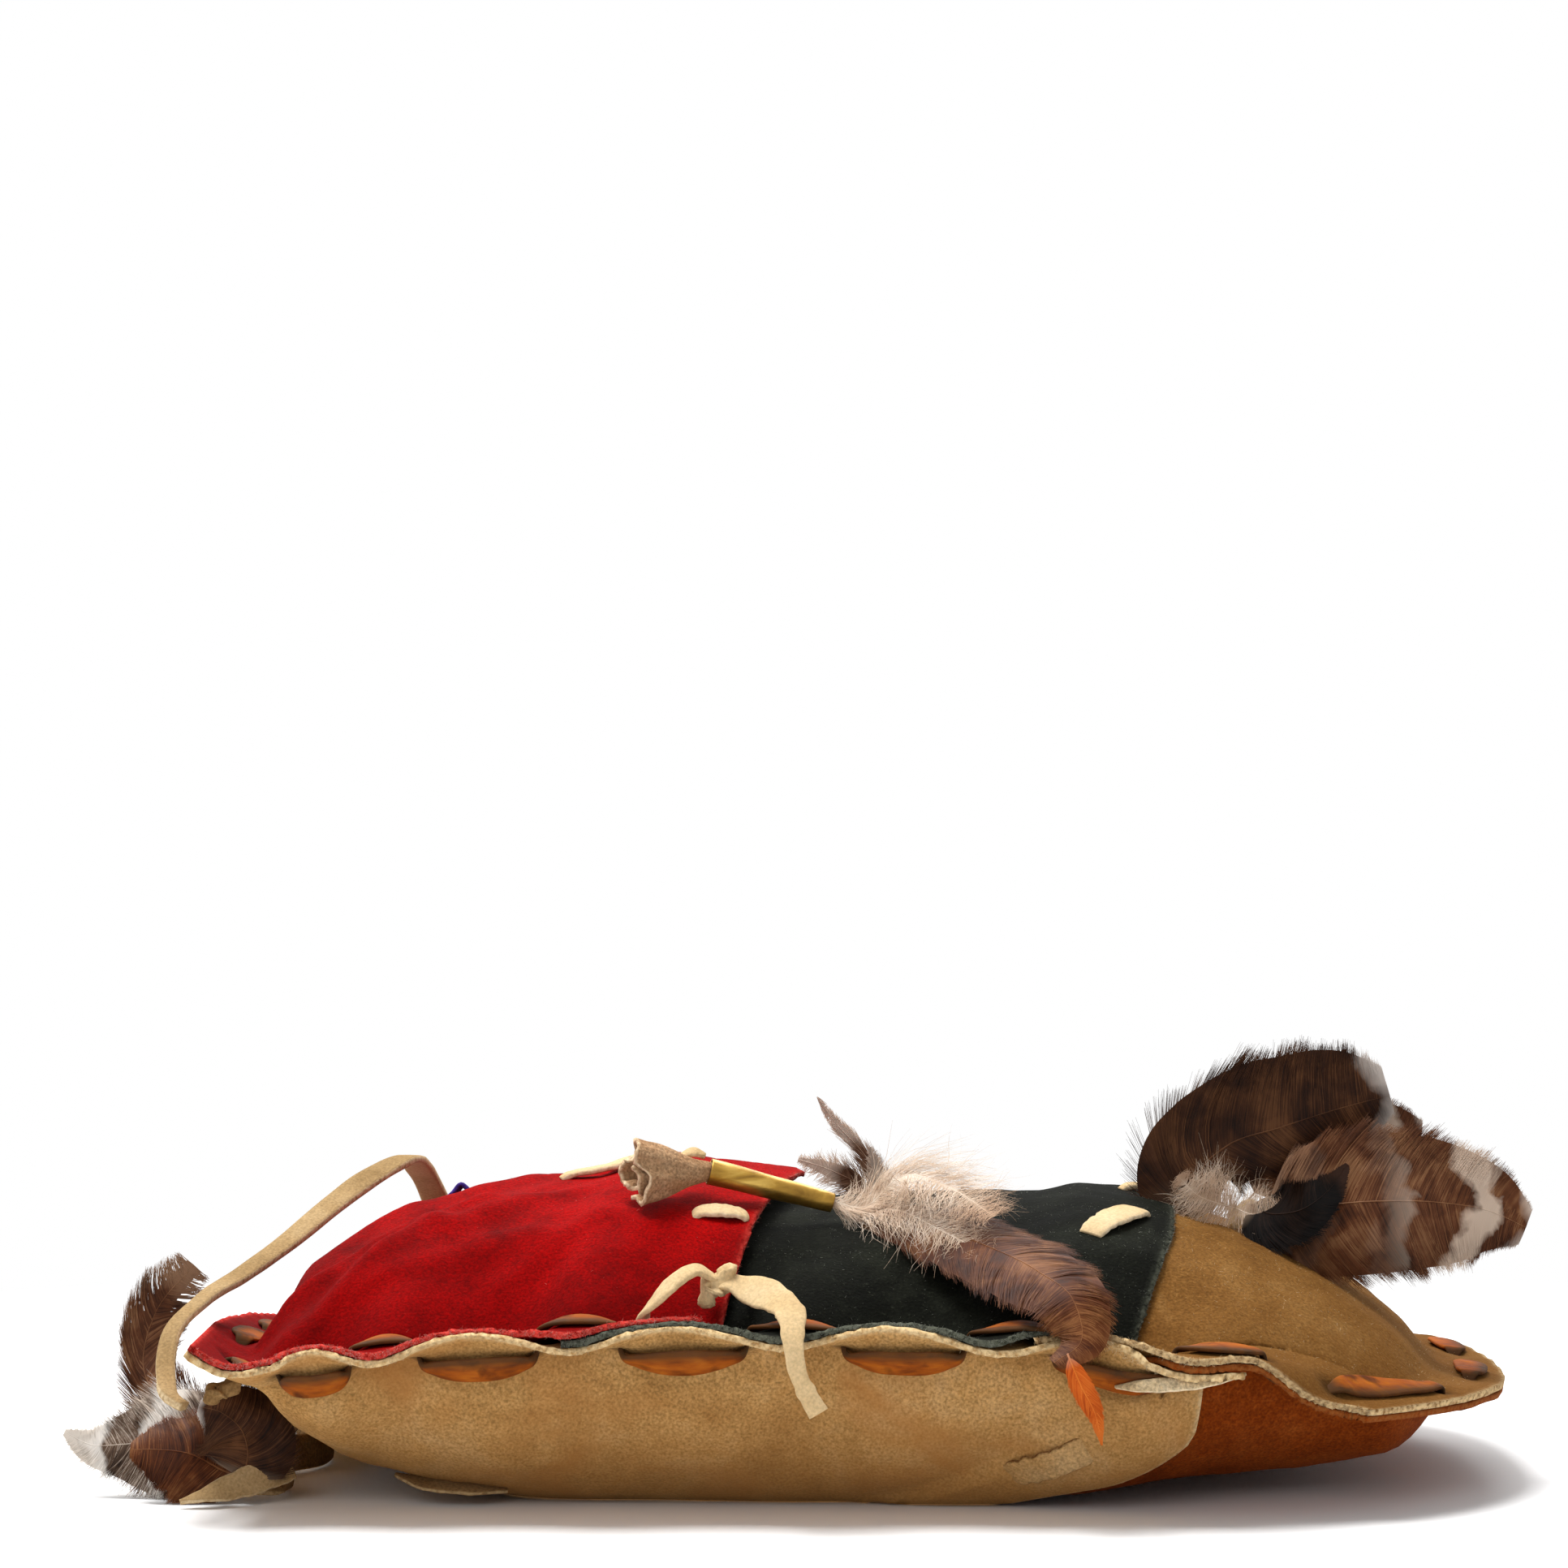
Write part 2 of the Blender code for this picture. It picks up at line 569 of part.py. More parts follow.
def tassel(name, rings, finish):
    """A rolled end of suede: ten-sided rings along a bent axis, hollow at its flared end."""
    sides = 10
    centres = [Vector(c) for c, _ in rings]
    axis = (centres[-1] - centres[0]).normalized()
    side = axis.cross(Vector((0, 0, 1))).normalized()
    up = side.cross(axis).normalized()
    points, faces = [], []
    rings = rings + [(centres[-1] - axis * 0.5 * MM, rings[-1][1] * 0.72),
                     (centres[-1] - axis * 5 * MM, rings[-1][1] * 0.45)]
    for k, (centre, radius) in enumerate(rings):
        for i in range(sides):
            turn = 2 * math.pi * i / sides
            frill = 1 + (0.14 * math.cos(3 * turn + 0.6) if 3 <= k <= 5 else 0)
            points.append(Vector(centre) + (side * math.cos(turn) + up * math.sin(turn)) * radius * frill)
    for k in range(len(rings) - 1):
        for i in range(sides):
            a, b = k * sides + i, k * sides + (i + 1) % sides
            faces.append((a, b, b + sides, a + sides))
    faces.append(tuple(range(sides))[::-1])
    faces.append(tuple(range(len(points) - sides, len(points))))
    made = add(name, points, faces, finish, parts)
    mesh = bmesh.new()
    mesh.from_mesh(made.data)
    bmesh.ops.recalc_face_normals(mesh, faces=mesh.faces)
    bmesh.ops.triangulate(mesh, faces=mesh.faces)
    mesh.to_mesh(made.data)
    mesh.free()
    return made


def knot(name, centre, radii, finish, joined=()):
    """A lump of tied suede, with the ends that run into it joined by union."""
    mesh = bmesh.new()
    bmesh.ops.create_uvsphere(mesh, u_segments=10, v_segments=7, radius=1,
                              matrix=Matrix.Translation(centre) @ Matrix.Diagonal((*radii, 1)))
    made = add(name, [], [], finish, parts)
    mesh.to_mesh(made.data)
    mesh.free()
    for strand in joined:
        union = made.modifiers.new(strand.name, "BOOLEAN")
        union.operation = "UNION"
        union.object = strand
        strand.hide_render = True
        strand.display_type = "WIRE"
    return made


SLOT_COLUMNS = np.array([slot_place(slot, LACE_INSET / HALF_WIDTH - 1) for slot in SIDE_SLOTS])
STITCH_COLUMNS = (SLOT_COLUMNS[1:] + SLOT_COLUMNS[:-1]) / 2

clear_scene()
parts = new_collection("feathered_suede_shoulder_bag")
helpers = new_collection("cutters")
helpers.hide_render = True

suede_red = material("red suede", (0.42, 0.008, 0.01), 0.95)
suede_green = material("green suede", (0.018, 0.026, 0.024), 0.95)
suede_tan = material("tan suede", (0.42, 0.24, 0.1), 0.95)
suede_beige = material("beige suede", (0.58, 0.4, 0.21), 0.95)
suede_rust = material("rust suede", (0.26, 0.065, 0.015), 0.95)
suede_lace = material("orange lace", (0.4, 0.12, 0.015), 0.8)
suede_thong = material("pale thong", (0.72, 0.56, 0.36), 0.9)
suede_purple = material("purple suede", (0.12, 0.06, 0.35), 0.9)
brass = material("aged brass", (0.36, 0.22, 0.05), 0.35, 1.0)
feather_brown = material("brown feather", (0.09, 0.04, 0.025), 0.7)
feather_pale = material("pale down", (0.65, 0.55, 0.47), 0.9)
feather_barred = material("barred feather", (0.25, 0.19, 0.15), 0.7)
feather_black = material("black feather", (0.012, 0.009, 0.008), 0.5)
feather_orange = material("orange feather", (0.55, 0.16, 0.04), 0.6)

cutter_mesh = bmesh.new()
make_lace(suede_lace, cutter_mesh)

# Stitches of pale thong that hold the laps of suede together
thong("lap_stitch_red", (-73, -4), (-50, 3), 6 * MM, 0, suede_thong, cutter_mesh)
thong("lap_stitch_mouth", (-42, -57), (-30, -56), 5.5 * MM, 0, suede_thong, cutter_mesh)
thong("lap_stitch_green", (54, -52), (66, -34), 6.5 * MM, 0, suede_thong, cutter_mesh)
thong("lap_stitch_bottom", (64, -3), (77, 1), 6 * MM, 0, suede_thong, cutter_mesh)
thong("back_stitch_low", (32, -78), (52, -85.5), 7 * MM, 1, suede_beige, cutter_mesh)

# The thong that ties the mouth shut: two strands off the suede, a knot and a hanging tail
tie_at = Vector((-36.6 * MM, -87 * MM, front_top(-36.6 * MM, -87 * MM) + 7.6 * MM))
tie_red = np.array((-52, -93)) * MM
tie_green = np.array((-29, -82)) * MM
tie_strands = []
for label, at, rise in (("loop", tie_red, (-2, -5, 9)), ("root", tie_green, (-2, 0, 1))):
    foot = Vector((*at, max(front_top(at[0], at[1] + s * MM) for s in (-2.5, 0, 2.5)) + 2 * GAP))
    up = foot + Vector((0, -0.5, 2.5)) * MM
    path = [foot, up, foot.lerp(tie_at, 0.4) + Vector(rise) * MM,
            foot.lerp(tie_at, 0.8) + Vector(rise) * MM / 2, tie_at]
    strand = ribbon(f"tie_{label}", rounded(path, 8), [(0, 1, 0.1)] * 8, THONG_WIDTH * 0.7, THONG_THICKNESS,
                    suede_thong, helpers)
    tie_strands.append(strand)
tail = [tie_at + Vector(step) * MM for step in ((0, 0, 0), (7, -4, 0), (14, -11, -2), (18, -19, -4),
                                                (18, -25.5, -11), (20, -27, -19), (24, -27, -27))]
tail_across = [(0.1, 1, 0.4), (0.2, 1, 0.5), (0.4, 1, 0.5), (0.9, 0.5, 0), (1, 0, 0), (1, 0, 0.3),
               (1, 0, 0.3)]
tie_strands.append(ribbon("tie_tail", tail, tail_across, np.array([4, 7.5, 7.5, 5.5, 4.5, 4.5, 4.5]) * MM,
                          THONG_THICKNESS, suede_thong, helpers))
knot("mouth_tie", tie_at, np.array((4.2, 3.4, 3.6)) * MM, suede_thong, tie_strands)

# Near and far danglers: tube, tassel and the feathers held in the tube
near_end, near_axis = dangler("near", (-38.5, -50), (-8, -46), (-56, -57, 0))
far_end, far_axis = dangler("far", (-38.5, 80), (-8, 78), (-56, 80, 0))


feather("near_down", held(near_end, near_axis, (0, -0.6, 0.8), [(16, -1, 6), (27, -13, 5), (38, -27, -1)]),
        (0.6, 0.7, 6, 9, 3), (0, -0.7, 1), 0.1, feather_pale)
feather("near_feather_brown", held(near_end, near_axis, (0, 0.5, -0.7), [(20, -11, -4), (34, -28, -10), (46, -44, -16),
                                                                     (53, -56, -20), (53, -64, -28)]),
        (0.6, 0.7, 6, 10, 9, 7, 2.5), (0.1, -0.8, 1), 0.15, feather_brown)
feather("near_feather_orange", from_point(near_end, [(53, -64.8, -28.9), (56, -68, -36), (59, -70, -42),
                                                     (60.5, -70, -48)]),
        (0.8, 2.6, 2.2, 0.8), (0, -1, 0), 0.1, feather_orange)
feather("far_feather_low", held(far_end, far_axis, (0, 1.1, 0), [(8, 2.5, 7), (0, 3.5, 12), (-9, 3.5, 15)]),
        (0.6, 0.6, 3, 4.5, 1.5), (0, -1, 0), 0.1, feather_brown)
feather("far_feather_tall", held(far_end, far_axis, (0, 0, 0), [(14, -0.4, 5), (9, 0.5, 16), (1, 1, 25), (-4, 1, 32)]),
        (0.6, 0.6, 1.2, 3.4, 2.8, 0.8), (0, -1, 0), 0.1, feather_brown)
feather("far_feather_short", held(far_end, far_axis, (0, -1.1, 0), [(13, -2.2, 3), (12, -4, 12), (10, -5, 19)]),
        (0.6, 0.6, 2.4, 3, 0.8), (0, -1, 0), 0.1, feather_brown)

# Cluster on the bottom piece, tied by a knot
bottom_at = Vector((93 * MM, -12 * MM, front_top(93 * MM, -12 * MM) + 4.2 * MM))
knot("bottom_knot", bottom_at, np.array((4.5, 3.6, 3.6)) * MM, suede_thong)
feather("bottom_feather_dark", from_point(bottom_at, [(-2.4, -3.6, 1.6), (-8, -3, 9), (-9, -2, 18),
                                                      (3, -2, 25), (18, -2, 29), (32, -2, 31),
                                                      (41, -2, 33)]),
        (0.8, 6, 13, 16, 17, 13, 3), (0, -1, 0), 0.12, feather_brown)
feather("bottom_feather_grey", from_point(bottom_at, [(2.3, 2.7, 3.1), (12, 6, 12), (28, 7, 17),
                                                      (44, 7, 19), (57, 7, 18)]),
        (0.8, 6, 9, 9, 2.5), (0, -1, 0.2), 0.12, feather_barred)
feather("bottom_feather_barred", from_point(bottom_at, [(3.5, -3.35, 0.7), (16, -16, 4), (30, -24, 4),
                                                        (46, -27, 3), (60, -27, 1), (69, -27, 0)]),
        (0.8, 9, 15, 15, 13, 3), (0, -1, 0.25), 0.12, feather_barred)
feather("bottom_feather_black", from_point(bottom_at, [(1.7, -3.6, 2.7), (6.5, -14, 8.5), (12, -17.5, 12),
                                                       (16, -21, 16)]),
        (0.8, 7, 8, 2.5), (0, -1, 0.25), 0.12, feather_black)

# Small purple piece stitched behind the crest
tab_at = find(-103 * MM, 23 * MM)
_, _, across = frame_at(tab_at, "red", (tab_at[0] + 0.01, tab_at[1]))
tab = [((s - 103) * MM, 23 * MM, front_top((s - 103) * MM, 23 * MM) + h * MM)
       for s, h in ((-6, 1.4), (-2, 2.8), (0, 4.4), (2, 2.8), (7, 1.4))]
ribbon("purple_tab", tab, [across] * 5, np.array([5, 6, 5, 6, 5]) * MM, 1.2 * MM, suede_purple, parts)

# Shoulder strap: from the near strap corner over the end of the bag, along behind it and back
STRAP_ROUTE = [(-159.2, -97, 27), (-162, -96, 28.5), (-164.5, -89, 33), (-164.5, -80, 41.5), (-159, -66, 48),
               (-152, -45, 52), (-143, -25, 58), (-133, -5, 66), (-126, 6, 71), (-119, 18, 74.5),
               (-117, 34, 74), (-116, 52, 70), (-115, 72, 64), (-113, 92, 54), (-111, 108, 45),
               (-106, 122, 32), (-98, 132, 16), (-80, 137, 8), (-40, 138, 6.2), (20, 137, 6.2),
               (80, 138, 6.2), (108, 142, 6.2), (119, 153, 6.2), (108, 164, 6.2), (80, 168, 6.2),
               (20, 167, 6.2), (-60, 168, 6.2), (-110, 164, 7), (-138, 150, 9), (-156, 128, 12),
               (-161.5, 110, 13), (-159.2, 99, 13)]
STRAP_ACROSS = [(0, 1, 0.1), (0.3, 1, 0.1), (1, 0.3, 0.2), (1, -0.2, 0.1), (1, -0.4, -0.1),
                (1, -0.5, -0.2), (1, -0.8, -0.3), (1, -0.8, -0.3), (1, -0.5, -0.2), (1, -0.3, 0),
                (1, -0.2, 0), (1, 0, 0), (1, 0, 0), (1, 0, 0), (1, 0, 0), (1, 0.1, 0.2), (0.8, 0.2, 0.9),
                (0.2, 0, 1), (0, 0, 1), (0, 0, 1), (0, 0, 1), (0, 0, 1), (0, 0, 1), (0, 0, 1), (0, 0, 1),
                (0, 0, 1), (0, 0, 1), (0, 0, 1), (0.1, 0, 1), (0.4, 0.3, 1), (0.8, 0.1, 0.8),
                (1, 0.2, 0.2)]
TAIL_ROUTE = [(-150.5, 91, 11), (-150, 70, 8), (-147, 44, 5.4), (-139, 18, 5.2), (-135, 2, 5.2),
              (-138, -12, 5.2), (-147, -24, 5.2), (-146, -38, 5.2), (-140, -47, 5.6),
              (-141, -58, 5.8), (-150, -66, 3.6)]
TAIL_ACROSS = [(1, 0.1, 0.1), (1, 0.3, 0.6), (0.2, 0.1, 1), (0, 0, 1), (0, 0, 1), (0, 0, 1), (0, 0, 1),
               (0, 0, 1), (0, 0.1, 1), (0.3, 0.8, 1), (0.4, 1, 0.2)]


def strap(name, route, directions, width, finish):
    """A flat strap along a hand-chosen route, turned as the direction at each point says."""
    steps = 2 * len(route)
    path = rounded(np.array(route) * MM, steps)
    place = np.linspace(0, 1, steps)
    across = rounded(directions, steps, route)
    tangent = np.gradient(path, axis=0)
    tangent /= np.linalg.norm(tangent, axis=1, keepdims=True)
    across = across - tangent * np.sum(across * tangent, axis=1, keepdims=True)
    return ribbon(name, path, across, width + 0 * place, STRAP_THICKNESS, finish, parts)


strap("shoulder_strap", STRAP_ROUTE, STRAP_ACROSS, STRAP_WIDTH, suede_thong)
strap("strap_tail", TAIL_ROUTE, TAIL_ACROSS, TAIL_WIDTH, suede_beige)
near_knot_at = Vector((-150.5 * MM, -97 * MM, 27 * MM))
far_knot_at = Vector((-149 * MM, 96.5 * MM, 12.5 * MM))
knot("strap_knot_near", near_knot_at, np.array((6.5, 5, 5)) * MM, suede_thong)
knot("strap_knot_far", far_knot_at, np.array((6.5, 5, 5)) * MM, suede_thong)

# Feathers and folded tip on the end of the strap's tail, lying on the floor
tail_at = np.array(TAIL_ROUTE[-1]) * MM
feather("tail_feather_barred", from_point(tail_at, [(0.6, 3, 3.0), (-6, 8, 4.6), (-20, 10, 8), (-34, 10, 9), (-43, 10, 10),
                                                    (-50, 10, 12)]),
        (0.8, 3, 8, 9, 7, 0.8), (0, -1, 0.5), 0.2, feather_barred)
feather("tail_feather_brown", from_point(tail_at, [(1, 0, 2), (-4, 1, 3), (-14, 2, 7), (-24, 2, 8), (-31, 2, 8)]),
        (0.8, 2, 7.5, 8, 3), (0, -1, 0.6), 0.2, feather_brown)
feather("tail_feather_dark", from_point(tail_at, [(1, -3, 1.6), (1.5, -4, 9), (1, -6, 17), (-5, -6, 18), (-12, -5, 15)]),
        (0.8, 2, 7, 9, 4), (0, -1, 0.3), 0.2, feather_brown)
feather("tail_feather_standing", from_point(tail_at, [(1.5, 3.5, 4.6), (-8, 18, 8), (-22, 36, 14), (-29, 46, 24),
                                                      (-26, 50, 37), (-15, 50, 51)]),
        (0.8, 1.5, 6, 9, 7, 1.5), (0, -1, 0.1), 0.15, feather_brown)

# Pieces of suede, all cut by the one set of slots
recalc = bmesh.ops.recalc_face_normals
recalc(cutter_mesh, faces=cutter_mesh.faces)
cutter = add("slot_cutters", [], [], suede_thong, helpers)
cutter_mesh.to_mesh(cutter.data)
cutter_mesh.free()
cutter.hide_render = True
cutter.display_type = "WIRE"
panel("front_panel_red", "red", -1, RED_END, suede_red, cutter)
panel("front_panel_green", "low", GREEN_START, GREEN_END, suede_green, cutter)
panel("front_panel_tan", "low", TAN_START, 1, suede_tan, cutter)
panel("back_panel_beige", "back", -1, BEIGE_END, suede_beige, cutter)
panel("back_panel_rust", "back", RUST_START, 1, suede_rust, cutter)
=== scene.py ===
"""The feathered suede shoulder bag, lying on its back panels in a white studio.

Every piece is built in the CAD's own frame, in metres, and rides on its one body. Sizes are
in metres where MM multiplies them, and otherwise in millimetres or shares as their lines say.
"""
import math

import bpy
import numpy as np
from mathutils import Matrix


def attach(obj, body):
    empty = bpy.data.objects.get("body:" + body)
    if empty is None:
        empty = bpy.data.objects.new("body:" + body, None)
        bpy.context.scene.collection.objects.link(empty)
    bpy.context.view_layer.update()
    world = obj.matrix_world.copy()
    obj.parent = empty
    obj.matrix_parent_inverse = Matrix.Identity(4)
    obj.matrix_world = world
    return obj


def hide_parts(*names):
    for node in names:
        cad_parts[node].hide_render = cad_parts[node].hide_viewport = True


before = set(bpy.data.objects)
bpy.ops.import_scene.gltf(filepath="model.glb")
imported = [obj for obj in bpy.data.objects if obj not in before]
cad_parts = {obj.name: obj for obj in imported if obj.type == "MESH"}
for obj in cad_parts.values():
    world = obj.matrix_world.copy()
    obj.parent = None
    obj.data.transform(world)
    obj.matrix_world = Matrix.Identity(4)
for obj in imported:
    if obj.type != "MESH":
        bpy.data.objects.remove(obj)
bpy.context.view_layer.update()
MM = 0.001

# CAMERA
# The photo was taken from just over a metre away, level, with the horizon above the bag.
# The lens is the one that gives the bag its measured length in the picture.
eye = bpy.data.cameras.new("camera")
eye.lens = 110
eye.sensor_width = 36
camera = bpy.data.objects.new("camera", eye)
camera.location = (-20.5 * MM, -1205 * MM, 171 * MM)
camera.rotation_euler = (math.pi / 2, 0, 0)
bpy.context.scene.collection.objects.link(camera)
bpy.context.scene.camera = camera
bpy.context.scene.view_settings.view_transform = "Standard"


# STRAP AND ITS TAIL
# One long thong of pale suede, knotted to both corners of the strap end. It runs over the bag's
# end, down its far side and along behind it on its edge. A shorter tail holds the left feathers.
def srgb(red, green, blue):
    """The linear colour of three screen values from 0 to 255: each share to the power 2.2."""
    return tuple((channel / 255) ** 2.2 for channel in (red, green, blue))


def node(tree, kind, inputs=None, **settings):
    """A shader node with its settings, and a value or a link for each named input."""
    made = tree.nodes.new(kind)
    for key, value in settings.items():
        setattr(made, key, value)
    for key, value in (inputs or {}).items():
        if isinstance(value, bpy.types.NodeSocket):
            tree.links.new(value, made.inputs[key])
        else:
            made.inputs[key].default_value = value
    return made


def noise(tree, at, scale, detail, stretch=None, distortion=0.0):
    """Noise from 0 to 1 with this many features in a metre, stretched along the axes."""
    if stretch:
        at = node(tree, "ShaderNodeMapping", {"Vector": at, "Scale": stretch}).outputs[0]
    values = {"Vector": at, "Scale": scale, "Detail": detail, "Distortion": distortion}
    return node(tree, "ShaderNodeTexNoise", values).outputs["Fac"]


def ramp(tree, value, stops):
    """Colour read from a value through (place, colour) stops, each colour as screen values."""
    made = node(tree, "ShaderNodeValToRGB", {"Fac": value})
    elements = made.color_ramp.elements
    elements.remove(elements[1])
    for k, (place, colour) in enumerate(stops):
        stop = elements[0] if k == 0 else elements.new(place)
        stop.position = place
        stop.color = (*srgb(*colour), 1)
    return made.outputs["Color"]


def mixed(tree, share, first, second, blend="MIX"):
    """Two colours mixed by a share, each colour a link or a linear colour."""
    made = node(tree, "ShaderNodeMix", data_type="RGBA", blend_type=blend)
    for socket, value in ((made.inputs[0], share), (made.inputs[6], first), (made.inputs[7], second)):
        if isinstance(value, bpy.types.NodeSocket):
            tree.links.new(value, socket)
        else:
            socket.default_value = (*value, 1) if isinstance(value, tuple) else value
    return made.outputs[2]


def maths(tree, operation, first, second, clamp=False):
    """One sum on two values or links."""
    made = node(tree, "ShaderNodeMath", {0: first, 1: second}, operation=operation, use_clamp=clamp)
    return made.outputs[0]


def total(tree, *terms):
    """The sum of values or links, each times its factor."""
    products = [maths(tree, "MULTIPLY", value, factor) for value, factor in terms]
    result = products[0]
    for product in products[1:]:
        result = maths(tree, "ADD", result, product)
    return result


def scaled(tree, value, low, high, to_low=0.0, to_high=1.0):
    """A value from low to high carried over to another span, and held at its ends."""
    values = {"Value": value, "From Min": low, "From Max": high, "To Min": to_low, "To Max": to_high}
    return node(tree, "ShaderNodeMapRange", values).outputs[0]


def fresh(name):
    """A new material, its node tree, its shader, and the piece's own coordinates in metres."""
    made = bpy.data.materials.new(name)
    made.use_nodes = True
    tree = made.node_tree
    at = node(tree, "ShaderNodeTexCoord").outputs["Object"]
    return made, tree, tree.nodes["Principled BSDF"], at


def kept_value(tree, label):
    """A value that the mesh keeps for each of its points, such as edge."""
    return node(tree, "ShaderNodeAttribute", attribute_name=label).outputs["Fac"]


def roughen(tree, shader, height, strength, depth):
    """Raise a shader's surface by a height from 0 to 1 times a depth in metres."""
    bump = node(tree, "ShaderNodeBump", {"Height": height, "Strength": strength, "Distance": depth})
    tree.links.new(bump.outputs[0], shader.inputs["Normal"])


def suede(name, dark, base, light, edge, nap=1.0, specks=0.0, marks=None, sheen=0.15,
          mottle=0.6, low_shade=None):
    """Napped suede: dark, base and light mixed by broad clouds, brushed streaks and pores.

    Nap is how deep the grain shades and raises the surface, specks are pale fibres, and
    marks is the colour of broad stains. The last argument is a lower and an upper height in
    metres and the share of dark below them: painted shade, darker towards the floor. The mesh's
    edge value brings in the colour of the cut edge, and a second value round each slit darkens
    the leather there as painted shade in the slit.
    """
    made, tree, shader, at = fresh(name)
    cloud = noise(tree, at, 28, 4.0, distortion=0.6)
    brushed = noise(tree, at, 110, 5.0, (1, 0.5, 1.3), 0.4)
    grain = noise(tree, at, 1500, 3.0)
    pore = noise(tree, at, 520, 4.0)
    tone = total(tree, (cloud, 0.4), (brushed, 0.3), (pore, 0.3 * mottle))
    middle = 0.35 + 0.15 * mottle
    colour = ramp(tree, tone, [(middle - 0.17, dark), (middle, base), (middle + 0.2, light)])
    shade = 255 - 80 * min(nap, 1)
    shading = ramp(tree, scaled(tree, grain, 0.3, 0.7),
                   [(0.0, (shade, shade, shade)), (1.0, (255, 255, 255))])
    colour = mixed(tree, 1.0, colour, shading, "MULTIPLY")
    pits = noise(tree, at, 1100, 2.0)
    colour = mixed(tree, scaled(tree, pits, 0.6, 0.75, 0, 0.4 * min(nap, 1)), colour, srgb(*dark))
    if specks:
        fleck = maths(tree, "MULTIPLY", scaled(tree, grain, 0.6, 0.7), scaled(tree, pore, 0.48, 0.62))
        colour = mixed(tree, maths(tree, "MULTIPLY", fleck, specks), colour, srgb(*light))
    if marks:
        stain = scaled(tree, noise(tree, at, 34, 6.0, distortion=0.8), 0.5, 0.72, 0, 0.75)
        colour = mixed(tree, stain, colour, srgb(*marks))
    # Painted shade: the colour darkens towards the bottom, below the given heights.
    if low_shade:
        height = node(tree, "ShaderNodeSeparateXYZ", {0: at}).outputs["Z"]
        height = total(tree, (height, 1), (cloud, 0.02))
        colour = mixed(tree, scaled(tree, height, low_shade[0], low_shade[1], low_shade[2], 0), colour, srgb(*dark))
    worn = scaled(tree, noise(tree, at, 900, 2.0), 0.3, 0.6, 0.1, 1.0)
    ragged = maths(tree, "MULTIPLY", kept_value(tree, "edge"), worn, True)
    colour = mixed(tree, ragged, colour, srgb(*edge))
    # Painted shade in the slits: the suede darkens round each slit where the lace goes in.
    slit_shade = maths(tree, "MULTIPLY", kept_value(tree, "slit_shade"), 0.75)
    colour = mixed(tree, slit_shade, colour, srgb(*[channel * 0.3 for channel in dark]))
    tree.links.new(colour, shader.inputs["Base Color"])
    shader.inputs["Roughness"].default_value = 0.95
    shader.inputs["Specular IOR Level"].default_value = 0.06
    shader.inputs["Sheen Weight"].default_value = sheen
    shader.inputs["Sheen Roughness"].default_value = 0.45
    shader.inputs["Sheen Tint"].default_value = (*srgb(*light), 1)
    roughen(tree, shader, total(tree, (grain, 0.55), (pore, 0.45)), 0.9, 0.4 * MM * nap)
    return made


def smooth(low, high, at):
    """0 below low and 1 above high, with an S-shaped step between them."""
    t = np.clip((at - low) / (high - low), 0, 1)
    return t * t * (3 - 2 * t)


def through(knots, at):
    """A smooth curve through (place, value) knots: cubic pieces with the knots' mean slopes."""
    place, value = np.array(knots, float).T
    slope = np.gradient(value, place)
    at = np.clip(at, place[0], place[-1])
    i = np.clip(np.searchsorted(place, at) - 1, 0, len(place) - 2)
    span = place[i + 1] - place[i]
    t = (at - place[i]) / span
    start = value[i] * (1 + 2 * t) * (1 - t) ** 2 + slope[i] * span * t * (1 - t) ** 2
    end = value[i + 1] * t * t * (3 - 2 * t) + slope[i + 1] * span * t * t * (t - 1)
    return start + end


def rounded(points, steps, route=None):
    """A smooth run through given points, evenly spaced along them or along a route."""
    points = np.array(points, float)
    route = points if route is None else np.array(route, float)
    place = np.concatenate([[0], np.cumsum(np.linalg.norm(np.diff(route, axis=0), axis=1))])
    at = np.linspace(0, place[-1], steps)
    return np.stack([through(list(zip(place, column)), at) for column in points.T], 1)


def unit(vectors):
    """The same directions with length 1."""
    return vectors / np.maximum(np.linalg.norm(vectors, axis=-1, keepdims=True), 1e-12)


def grid_faces(rows, columns, wrap=False):
    """The four corners of each cell of a grid of points kept row by row; wrap closes each row."""
    i, j = np.meshgrid(np.arange(rows - 1), np.arange(columns - (not wrap)), indexing="ij")
    a, b = i * columns + j, i * columns + (j + 1) % columns
    return np.stack([a, b, b + columns, a + columns], -1).reshape(-1, 4)


def strip(path, across, width, thickness, sides, square):
    """A strip of leather along a path: a squared oval at each point, its width along across.

    The oval is the cosine and sine of the turn, raised to the power square, so that 1
    gives a true oval. Both ends are closed by cells across the oval.
    """
    tangent = unit(np.gradient(path, axis=0))
    across = unit(across - tangent * np.sum(across * tangent, 1, keepdims=True))
    normal = np.cross(tangent, across)
    turn = (np.arange(sides) + 0.5) / sides * 2 * np.pi
    c = np.sign(np.cos(turn)) * np.abs(np.cos(turn)) ** square
    s = np.sign(np.sin(turn)) * np.abs(np.sin(turn)) ** square
    wide = (np.broadcast_to(width, len(path)) / 2)[:, None, None]
    thick = (np.broadcast_to(thickness, len(path)) / 2)[:, None, None]
    points = path[:, None] + across[:, None] * wide * c[:, None] + normal[:, None] * thick * s[:, None]
    i = np.arange(sides // 2 - 1)
    cap = np.stack([i, i + 1, sides - 2 - i, sides - 1 - i], 1)
    faces = [grid_faces(len(path), sides, True), cap[:, ::-1], cap + (len(path) - 1) * sides]
    return points.reshape(-1, 3), np.concatenate(faces)


def joined(shapes):
    """Several (points, faces) shapes as one, with the faces' numbers moved on."""
    starts = np.cumsum([0] + [len(points) for points, _ in shapes[:-1]])
    faces = [faces + start for (_, faces), start in zip(shapes, starts)]
    return np.concatenate([points for points, _ in shapes]), np.concatenate(faces)


